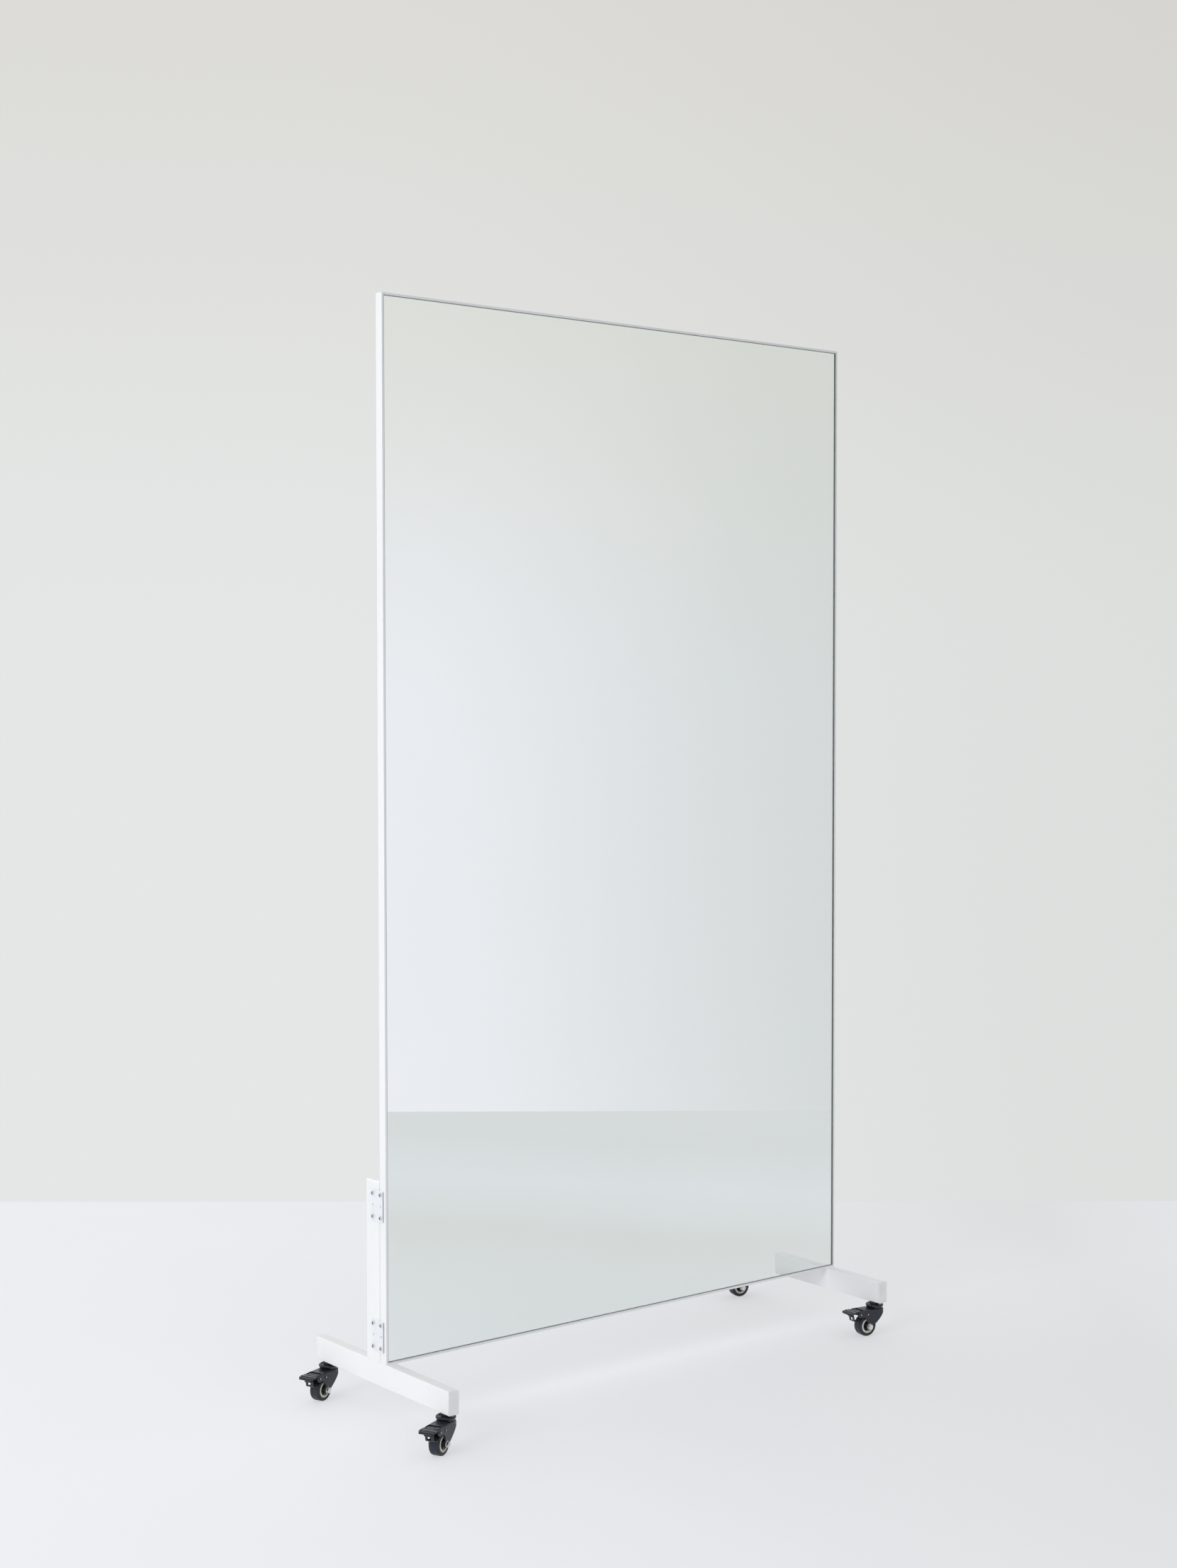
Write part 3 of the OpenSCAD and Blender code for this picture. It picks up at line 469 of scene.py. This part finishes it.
def lathe(points, steps=96):
    """Turns a closed section of (radius, height) points about Z."""
    build = bmesh.new()
    rings = []
    for i in range(steps):
        a = 2 * math.pi * i / steps
        rings.append([build.verts.new((r * math.cos(a), r * math.sin(a), z)) for r, z in points])
    for i in range(steps):
        here, there = rings[i], rings[(i + 1) % steps]
        for k in range(len(points)):
            after = (k + 1) % len(points)
            build.faces.new((here[k], here[after], there[after], there[k]))
    return build


def arc(centre, radius, start, end, steps):
    """Points of an arc in a section, angles in degrees."""
    found = []
    for i in range(steps + 1):
        a = math.radians(start + (end - start) * i / steps)
        found.append((centre[0] + radius * math.cos(a), centre[1] + radius * math.sin(a)))
    return found


def prism(outline, low, high, axis="Z"):
    """Extrudes an outline of 2-D points between two heights."""
    build = bmesh.new()
    ends = []
    for h in (low, high):
        if axis == "Z":
            ends.append([build.verts.new((a, b, h)) for a, b in outline])
        else:
            ends.append([build.verts.new((a, h, b)) for a, b in outline])
    lower, upper = ends
    for k in range(len(outline)):
        after = (k + 1) % len(outline)
        build.faces.new((lower[k], lower[after], upper[after], upper[k]))
    build.faces.new(lower[::-1])
    build.faces.new(upper)
    bmesh.ops.recalc_face_normals(build, faces=build.faces)
    return build


def rounded_top(build, top, radius, steps):
    """Rounds the edges of the upper face of a prism."""
    rim = [e for e in build.edges if all(abs(v.co.z - top) < 1e-6 for v in e.verts)]
    bmesh.ops.bevel(
        build, geom=rim, offset=radius, segments=steps,
        profile=0.5, affect="EDGES", clamp_overlap=True,
    )
    return build


def loose(name, build):
    """A plain object from a bmesh, for a boolean."""
    mesh = bpy.data.meshes.new(name)
    build.to_mesh(mesh)
    build.free()
    made = bpy.data.objects.new(name, mesh)
    bpy.context.scene.collection.objects.link(made)
    return made


def cut(target, tools, kinds):
    """Applies booleans to a loose object and returns its mesh as a bmesh."""
    for tool, kind in zip(tools, kinds):
        step = target.modifiers.new("cut", "BOOLEAN")
        step.operation = kind
        step.object = tool
        step.solver = "EXACT"
    bpy.context.view_layer.update()
    graph = bpy.context.evaluated_depsgraph_get()
    result = bmesh.new()
    result.from_mesh(target.evaluated_get(graph).to_mesh())
    for used in (target, *tools):
        old = used.data
        bpy.data.objects.remove(used)
        bpy.data.meshes.remove(old)
    return result


# Sizes of one caster in its own frame, in mm: X from the stem to the wheel, Z up
TRAIL, AXLE_Z, WHEEL_R = 22.6, 20.0, 20.0
HALF, NOSE, SHEET, FORK_TOP = 14.5, 17.0, 2.0, 52.0
PIVOT, STOP = (43.0, 45.0), (26.5, 43.7)
PLATE_END, EAR_END, EAR_R, TOE_R = 35.0, 49.5, 6.5, 6.5
# A lathed section that reaches its axis stops this far from it.
CORE = 0.0001


def fork_plan(half, nose, back):
    """Plan of the fork: straight legs and a round front."""
    start = math.degrees(math.asin(half / nose))
    front = arc((0, 0), nose, 180 - start, 180 + start, 28)
    return [(back, half)] + [(0, half)] + front + [(0, -half)] + [(back, -half)]


def fork_side():
    """Side outline of the fork, from the front round the toe to the pedal's ear."""
    points = [(-18, 54), (-18, 45.5), (-14, 43.6), (-8.8, 41.2), (-5.2, 35.6), (0, 30.2), (5, 26)]
    points += arc((TRAIL, AXLE_Z), TOE_R, 208, 360, 16)
    points += [(26.6, 27.2), (27.2, 32.0), (29.1, 35.6), (33.0, 37.8)]
    points += arc(PIVOT, EAR_R, 250, 442, 18)
    points += [(PLATE_END, 52.2), (PLATE_END, 54)]
    return points


def scaled(points):
    """Points in mm to metres."""
    return [(a * MM, b * MM) for a, b in points]


def mirrored(points):
    """The same points backwards, with the second number turned round."""
    return [(a, -b) for a, b in reversed(points)]


def block(points, low, high, axis="Z"):
    """A prism whose outline and heights are in mm."""
    return prism(scaled(points), low * MM, high * MM, axis)


def across(build, u, z):
    """Lays a lathed piece across the caster at a place of its side view."""
    turn = Matrix.Translation((u * MM, 0, z * MM)) @ Matrix.Rotation(-math.pi / 2, 4, "X")
    bmesh.ops.transform(build, matrix=turn, verts=build.verts)
    return build


def about_axle(build):
    """Lays a lathed piece on the wheel's axis."""
    return across(build, TRAIL, AXLE_Z)


def second_material(build, test):
    """Gives the second material to faces by the radius and height of their middle."""
    for face in build.faces:
        centre = face.calc_center_median()
        face.material_index = 1 if test(math.hypot(centre.x, centre.y), centre.z) else 0


def merged(parts):
    """One bmesh from several."""
    whole = bmesh.new()
    for one in parts:
        mesh = bpy.data.meshes.new("one")
        one.to_mesh(mesh)
        one.free()
        whole.from_mesh(mesh)
        bpy.data.meshes.remove(mesh)
    return whole


def build_fork():
    """Pressed channel, open below, with ears that reach past its top to the pedal's pivot."""
    outer = block(fork_plan(HALF, NOSE, EAR_END), 5, FORK_TOP)
    outer = rounded_top(outer, FORK_TOP * MM, 4 * MM, 6)
    inside, inner_top = HALF - SHEET, FORK_TOP - SHEET
    inner = block(fork_plan(inside, NOSE - SHEET, EAR_END + 3), -5, inner_top)
    inner = rounded_top(inner, inner_top * MM, 2 * MM, 4)
    gap = block([(PLATE_END, inside), (60, inside), (60, -inside), (PLATE_END, -inside)], 20, 60)
    side = block(fork_side(), -30, 30, "Y")
    return cut(
        loose("fork_outer", outer),
        (loose("fork_inner", inner), loose("fork_gap", gap), loose("fork_side", side)),
        ("DIFFERENCE", "DIFFERENCE", "INTERSECT"),
    )


def build_cup():
    """Round swivel cup with a rolled rim, open for the stem."""
    section = [(5.1, 54.9), (9.5, 54.9), (13.6, 54.2), (13.6, 52.6), (15.5, 52.6), (15.8, 53.6)]
    section += arc((14.4, 56.45), 2.6, -50, 100, 14)
    section += [(12.9, 58.6), (12.0, 57.9), (11.0, 57.55), (9.0, 57.6), (5.1, 57.6)]
    return lathe(scaled(section))


def build_hub():
    """Wheel core: bore, boss, recessed web and a grooved rim; dark inside the rim."""
    face, web, boss, recess = 9.3, 2.5, 12.2, 9.9
    side = [(2.6, boss), (4.9, boss), (5.4, boss - 0.5), (5.6, web + 0.8), (6.4, web), (9.2, web)]
    side += [(10.0, web + 0.8), (10.2, face - 0.4), (10.6, face), (11.6, face), (11.8, face - 0.25)]
    side += [(12.2, face - 0.25), (12.4, face), (13.4, face), (13.95, face - 0.4)]
    core = lathe(scaled(side + mirrored(side)))
    second_material(core, lambda radius, height: radius < recess * MM)
    return about_axle(core)


def build_tyre():
    """Tyre with round shoulders and a fine moulding line round its middle."""
    half, shoulder = 9.5, 3.0
    side = [(13.98, half - 0.5), (14.4, half - 0.1), (16.2, half)]
    side += arc((WHEEL_R - shoulder - 0.1, half - shoulder), shoulder, 90, 0, 9)
    side += [(WHEEL_R - 0.02, half - 5.5), (WHEEL_R - 0.02, 0.25), (WHEEL_R - 0.12, 0.0)]
    return about_axle(lathe(scaled(side + mirrored(side[:-1])), 128))


def build_covers():
    """Two dished rings, one in each recess of the wheel core."""
    ring = [(5.7, 3.2), (5.7, 4.6), (6.4, 5.0), (9.2, 4.4), (10.0, 3.8), (10.0, 3.2)]
    return about_axle(merged([lathe(scaled(ring), 64), lathe(scaled(mirrored(ring)), 64)]))


def build_pins():
    """Pivot and stop pin, with domed heads that are bright in their middle."""
    out, bright = HALF + 0.05, 1.3
    pins = []
    for (u, z), radius in ((PIVOT, 2.0), (STOP, 1.5)):
        half = [(CORE, out + 0.75), (0.9, out + 0.8), (1.35, out + 1.1), (radius + 0.6, out + 0.85)]
        half += [(radius + 1.15, out + 0.35), (radius + 1.2, out), (radius, out)]
        pin = lathe(scaled(half + mirrored(half)), 40)
        second_material(pin, lambda r, height: r < bright * MM and abs(height) > out * MM)
        pins.append(across(pin, u, z))
    return merged(pins)


def bar(u, z, radius, half, steps=28):
    """A round bar across the caster."""
    return block(arc((u, z), radius, 0, 360 * (steps - 1) / steps, steps - 1), -half, half, "Y")


def build_pedal():
    """Pedal with a rolled tip, two broad grip blocks and two cheeks."""
    low, top = 48.2, 50.2
    side = [(36, low), (36, top), (43.9, top), (44.6, 49.9), (45.2, 50.5), (45.9, 50.9)]
    side += [(51.0, 50.95), (51.7, 50.5), (52.2, 50.0), (52.8, 50.5), (53.5, 50.9), (59.6, 51.0)]
    side += [(60.6, 50.7), (61.4, 49.9), (62.6, 49.7)]
    side += arc((66.1, 48.2), 2.4, 140, -140, 26) + [(63.4, low)]
    plan = [(35, 12.2), (50.3, 12.2), (50.3, 14.5), (62.6, 14.5), (64.6, 14.1), (66.2, 13.2)]
    plan += [(67.6, 12.2), (68.3, 11.3), (68.5, 10.4)]
    plate = cut(
        loose("pedal_side", block(side, -15, 15, "Y")),
        (loose("pedal_plan", block(plan + mirrored(plan), 40, 60)),),
        ("INTERSECT",),
    )
    cheek = [(36, 48.6), (60.1, 48.6), (59.4, 47.4), (48.2, 44.6)] + arc(PIVOT, 5, -4, -180, 18)
    cheeks = [block(cheek, v, v + 1.5, "Y") for v in (-12.2, 10.7)]
    return merged([plate] + cheeks)


def build_strap():
    """Bent strip under the pedal: cross pin, window, lower bend and the pad."""
    side = [(57.7, 48.4), (55.6, 40.3), (53.9, 33.0), (53.2, 31.6), (51.9, 30.8), (43.65, 29.0)]
    side += [(43.65, 30.8), (51.2, 32.5), (51.9, 33.0), (52.2, 33.8), (54.0, 40.7), (56.0, 48.4)]
    window = block([(49, -3.4), (62, -3.4), (62, 2.6), (49, 2.6)], 33.4, 39.6)
    strip = cut(
        loose("strip", block(side, -7.8, 7.8, "Y")),
        (loose("window_cut", window),),
        ("DIFFERENCE",),
    )
    return merged([strip, bar(43.65, 29.9, 1.8, 8.5), bar(55.9, 41.0, 1.5, 8.5)])


def by_angle(piece, degrees=35):
    """Smooth shading with creases at sharp angles."""
    mesh = piece.data
    limit = math.radians(degrees)
    work = bmesh.new()
    work.from_mesh(mesh)
    for edge in work.edges:
        edge.smooth = len(edge.link_faces) == 2 and edge.calc_face_angle(0) < limit
    work.to_mesh(mesh)
    work.free()


# Where each caster's joints are, which say where it stands and which way it points
JOINTS_AT = {}
for joint in frame["joints"]:
    corner, what = joint["name"].split("_", 1)
    JOINTS_AT.setdefault(corner, {})[what] = Vector(joint["pos_m"])

for corner in CORNERS:
    stem, wheel = JOINTS_AT[corner]["swivel_turn"], JOINTS_AT[corner]["wheel_spin"]
    heading = math.atan2(wheel.y - stem.y, wheel.x - stem.x)
    stand_at = Matrix.Translation((stem.x, stem.y, 0)) @ Matrix.Rotation(heading, 4, "Z")
    for part_name, builder, materials, body, slot_name, stands_for in (
        ("fork_shell", build_fork, (BLACK,), "swivel", "black_steel", "fork"),
        ("cup_shell", build_cup, (BLACK,), None, "black_steel", "cup"),
        ("wheel_core", build_hub, (CREAM, COVER), "wheel", "cream_plastic", "hub"),
        ("wheel_tyre", build_tyre, (MATERIALS["tyre"],), "wheel", "tyre", "tyre"),
        ("dust_covers", build_covers, (COVER,), "wheel", None, None),
        ("domed_pins", build_pins, (BLACK, PIN), "swivel", "black_steel", "brake_pins"),
        ("pedal", build_pedal, (BLACK,), "brake", "black_steel", "brake_lever"),
        ("strap", build_strap, (BLACK,), "brake", "black_steel", "brake_shoe"),
    ):
        build = builder()
        bmesh.ops.transform(build, matrix=stand_at, verts=build.verts)
        rides_on = f"{corner}_{body}" if body else "stand"
        piece = shape(f"{corner}_{part_name}", build, materials, rides_on)
        by_angle(piece)
        if stands_for:
            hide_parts(f"{corner}_{stands_for}")
        if part_name in ("fork_shell", "pedal", "strap"):
            round_edges(piece, 0.3 * MM, 40)
    soften(f"{corner}_axle", 0.3 * MM, 40)


# ---------- screws of the joining plates ----------
def build_screws():
    """Pan heads with a dished middle painted dark as shade, one for each solid of the node."""
    shade_r, shade_deep = 2.3, 1.5
    source = bmesh.new()
    source.from_mesh(NODES["plate_screws"].data)
    bmesh.ops.remove_doubles(source, verts=source.verts, dist=WELD_WITHIN)
    reached, made = set(), []
    for first in source.verts:
        if first in reached:
            continue
        reached.add(first)
        group, todo = [], [first]
        while todo:
            vert = todo.pop()
            group.append(vert.co.copy())
            for edge in vert.link_edges:
                other = edge.other_vert(vert)
                if other not in reached:
                    reached.add(other)
                    todo.append(other)
        ends = [min(c.x for c in group), max(c.x for c in group)]
        y = (min(c.y for c in group) + max(c.y for c in group)) / 2
        z = (min(c.z for c in group) + max(c.z for c in group)) / 2
        outward = 1 if abs(ends[1]) > abs(ends[0]) else -1
        tip = ends[1] if outward > 0 else ends[0]
        length = (ends[1] - ends[0]) / MM
        head = [(CORE, -1.0), (1.2, -0.95), (2.0, -0.6), (2.35, -0.06), (2.6, 0.0), (3.0, -0.08)]
        head += [(3.45, -0.45), (3.72, -1.15), (3.78, -2.2)]
        shank = [(2.0, -2.2), (2.0, 1 - length), (1.2, -length), (CORE, -length)]
        screw = lathe(scaled(head + shank), 36)
        # Faces of the dish in the head's middle get the second material: painted shade of the recess.
        second_material(screw, lambda radius, z: radius < shade_r * MM and z > -shade_deep * MM)
        turn = Matrix.Translation((tip, y, z)) @ Matrix.Rotation(outward * math.pi / 2, 4, "Y")
        bmesh.ops.transform(screw, matrix=turn, verts=screw.verts)
        made.append(screw)
    source.free()
    return merged(made)


SCREW = steel("screw_steel", (0.84, 0.85, 0.88), 0.3)
# Dark bluish tone of the screw sockets: painted shade in the recess.
SOCKET_SHADE = steel("screw_socket_painted_shade", (0.32, 0.31, 0.42), 0.4)
pan_screws = shape("pan_screws", build_screws(), (SCREW, SOCKET_SHADE), "stand")
by_angle(pan_screws)
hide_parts("plate_screws")

# ---------- floor, backdrop, light ----------
# The floor is a square that ends in two straight lines: behind the object, and where the
# mirror looks. Each is a direction and how far the floor goes in it.
REACH = 9.0
ENDS = (
    (Vector((math.sin(YAW), math.cos(YAW))), 1.32),
    (Vector((0.6104, -0.7921)), 2.56),
)

corners = [Vector(c) for c in ((-REACH, -REACH), (REACH, -REACH), (REACH, REACH), (-REACH, REACH))]
for normal, limit in ENDS:
    kept = []
    for i, a in enumerate(corners):
        b = corners[(i + 1) % len(corners)]
        da, db = normal.dot(a) - limit, normal.dot(b) - limit
        if da <= 0:
            kept.append(a)
        if (da < 0) != (db < 0):
            kept.append(a + (b - a) * (da / (da - db)))
    corners = kept

FLOOR_LOW, FLOOR_HIGH = (0.845, 0.858, 0.875), (0.875, 0.887, 0.903)
floor_shader = Shader("floor").set(Specular_IOR_Level=0.2)
floor_tint = [(0.3, FLOOR_LOW), (0.7, FLOOR_HIGH)]
floor_shader.colour(floor_shader.ramp(floor_shader.noise(1.4, 3), floor_tint))
floor_shader.rough(floor_shader.remap(floor_shader.noise(3, 4), 0.5, 0.65))

# Part of the floor's tone, as it is seen, comes from its own pale colour: cooler at one side, and at the other
# darker and warmer, a painted shadow of the mirror and right foot. The rest is lit, so that it keeps the object's
# shadow.
FLOOR_SHARE = 0.63
GLOW_FROM, GLOW_TO = -1.15, 2.0
# Towards the far side the glow turns darker and warmer: a painted shadow of the mirror and right foot.
GLOW_AND_SHADOW = [
    (0.0, (0.865, 0.881, 0.915)),
    (0.349, (0.83, 0.845, 0.876)),
    (0.683, (0.722, 0.725, 0.72)),
    (0.841, (0.78, 0.8, 0.828)),
    (1.0, (0.715, 0.725, 0.725)),
]
sideways = floor_shader.add("ShaderNodeVectorMath", operation="DOT_PRODUCT")
sideways.inputs[1].default_value = (math.cos(YAW), -math.sin(YAW), 0)
floor_shader.link(floor_shader.coord, sideways.inputs[0])
part_way = floor_shader.remap(sideways.outputs["Value"], 0, 1, GLOW_FROM, GLOW_TO)
glow = floor_shader.add("ShaderNodeEmission")
floor_shader.link(floor_shader.ramp(part_way, GLOW_AND_SHADOW), glow.inputs["Color"])
path = floor_shader.add("ShaderNodeLightPath").outputs
seen = path["Is Camera Ray"]
for kind in ("Is Glossy Ray", "Is Transmission Ray"):
    seen = floor_shader.math("MAXIMUM", seen, path[kind])
share = floor_shader.add("ShaderNodeMixShader")
floor_shader.link(floor_shader.math("MULTIPLY", seen, FLOOR_SHARE), share.inputs[0])
floor_shader.link(floor_shader.bsdf.outputs[0], share.inputs[1])
floor_shader.link(glow.outputs[0], share.inputs[2])
floor_shader.link(share.outputs[0], floor_shader.out.inputs["Surface"])

build = bmesh.new()
build.faces.new([build.verts.new((c.x, c.y, 0)) for c in corners])
mesh = bpy.data.meshes.new("floor")
build.to_mesh(mesh)
build.free()
mesh.materials.append(floor_shader.material)
floor = bpy.data.objects.new("floor", mesh)
bpy.context.scene.collection.objects.link(floor)

world = bpy.data.worlds.new("studio")
bpy.context.scene.world = world
world.use_nodes = True
tree = world.node_tree
tree.nodes.clear()


def node(kind, *links, **values):
    """Adds a world node; each link is an output, a number or a tuple for the next input."""
    made = tree.nodes.new(kind)
    for key, value in values.items():
        setattr(made, key, value)
    for place, value in enumerate(links):
        if isinstance(value, (int, float, tuple)):
            made.inputs[place].default_value = value
        else:
            tree.links.new(value, made.inputs[place])
    return made


def ramp(fac, start, end):
    """A colour ramp of the world, from one colour at 0 to another at 1."""
    made = node("ShaderNodeValToRGB", fac)
    set_stops(made.color_ramp, ((0.0, start), (1.0, end)))
    return made.outputs[0]


def blend(kind, fac, a, b):
    """Mixes two colours of the world."""
    made = tree.nodes.new("ShaderNodeMix")
    made.data_type = "RGBA"
    made.blend_type = kind
    slots = {x.name: x for x in made.inputs if x.enabled}
    for name, value in (("Factor", fac), ("A", a), ("B", b)):
        if isinstance(value, tuple):
            slots[name].default_value = (*value, 1)
        elif isinstance(value, (int, float)):
            slots[name].default_value = value
        else:
            tree.links.new(value, slots[name])
    return [x for x in made.outputs if x.enabled][0]


def span(value, a, b):
    """0 at a, 1 at b, smooth between."""
    made = node("ShaderNodeMapRange", value, a, b, 0.0, 1.0, interpolation_type="SMOOTHSTEP")
    return made.outputs[0]


direction = node("ShaderNodeTexCoord").outputs["Generated"]
part = node("ShaderNodeSeparateXYZ", direction).outputs

# What lights the object: brightest from above, a little brighter at the left than the right
LEVEL, TOWARDS, LIGHT_TINT = 0.44, (-0.14, 0.1, 0.66), (0.97, 0.985, 1, 1)
pull = node("ShaderNodeVectorMath", direction, TOWARDS, operation="DOT_PRODUCT")
level = node("ShaderNodeMath", pull.outputs["Value"], LEVEL, operation="ADD").outputs[0]
lamp = node("ShaderNodeBackground", LIGHT_TINT, level).outputs[0]

# What the camera and reflections see: pale, greyer high up and to the right
wall = ramp(span(part[2], 0.0, 0.36), (0.78, 0.8, 0.795), (0.71, 0.7, 0.672))
right_shade = ramp(span(part[0], 0.5, 0.86), (1, 1, 1), (0.92, 0.915, 0.905))
wall = blend("MULTIPLY", 1.0, wall, right_shade)
# What the mirror faces: the room before it, darker to the right and overhead
across_mirror = span(part[0], 0.54, 0.72)
ahead = ramp(across_mirror, (0.903, 0.902, 0.954), (0.727, 0.735, 0.744))
overhead = ramp(across_mirror, (0.79, 0.775, 0.743), (0.715, 0.718, 0.676))
ahead = blend("MIX", span(part[2], -0.02, 0.2), ahead, overhead)
shown = blend("MIX", span(part[1], -0.2, -0.6), wall, ahead)
# Below the horizon it goes on in the floor's pale tone.
shown = blend("MIX", span(part[2], -0.25, -0.36), shown, FLOOR_LOW)
backdrop = node("ShaderNodeBackground", shown, 1.0).outputs[0]

rays = node("ShaderNodeLightPath").outputs
seen = rays["Is Camera Ray"]
for kind in ("Is Glossy Ray", "Is Transmission Ray"):
    seen = node("ShaderNodeMath", seen, rays[kind], operation="MAXIMUM").outputs[0]
chosen = node("ShaderNodeMixShader", seen, lamp, backdrop).outputs[0]
node("ShaderNodeOutputWorld", chosen)

# A soft window at the left, out of sight of the mirror
WINDOW_AT, WINDOW_AIM = Vector((-7.2, -1.4, 3.8)), Vector((0, 0, 0.2))
WINDOW_SIZE, WINDOW_WATTS = (3.2, 2.8), 160
window_light = bpy.data.lights.new("window", "AREA")
window_light.shape = "RECTANGLE"
window_light.size, window_light.size_y = WINDOW_SIZE
window_light.energy = WINDOW_WATTS
window = bpy.data.objects.new("window", window_light)
bpy.context.scene.collection.objects.link(window)
window.location = WINDOW_AT
window.rotation_mode = "QUATERNION"
window.rotation_quaternion = (WINDOW_AIM - WINDOW_AT).to_track_quat("-Z", "Y")
window.visible_glossy = False
window.visible_camera = False

bpy.context.scene.view_settings.view_transform = "Standard"
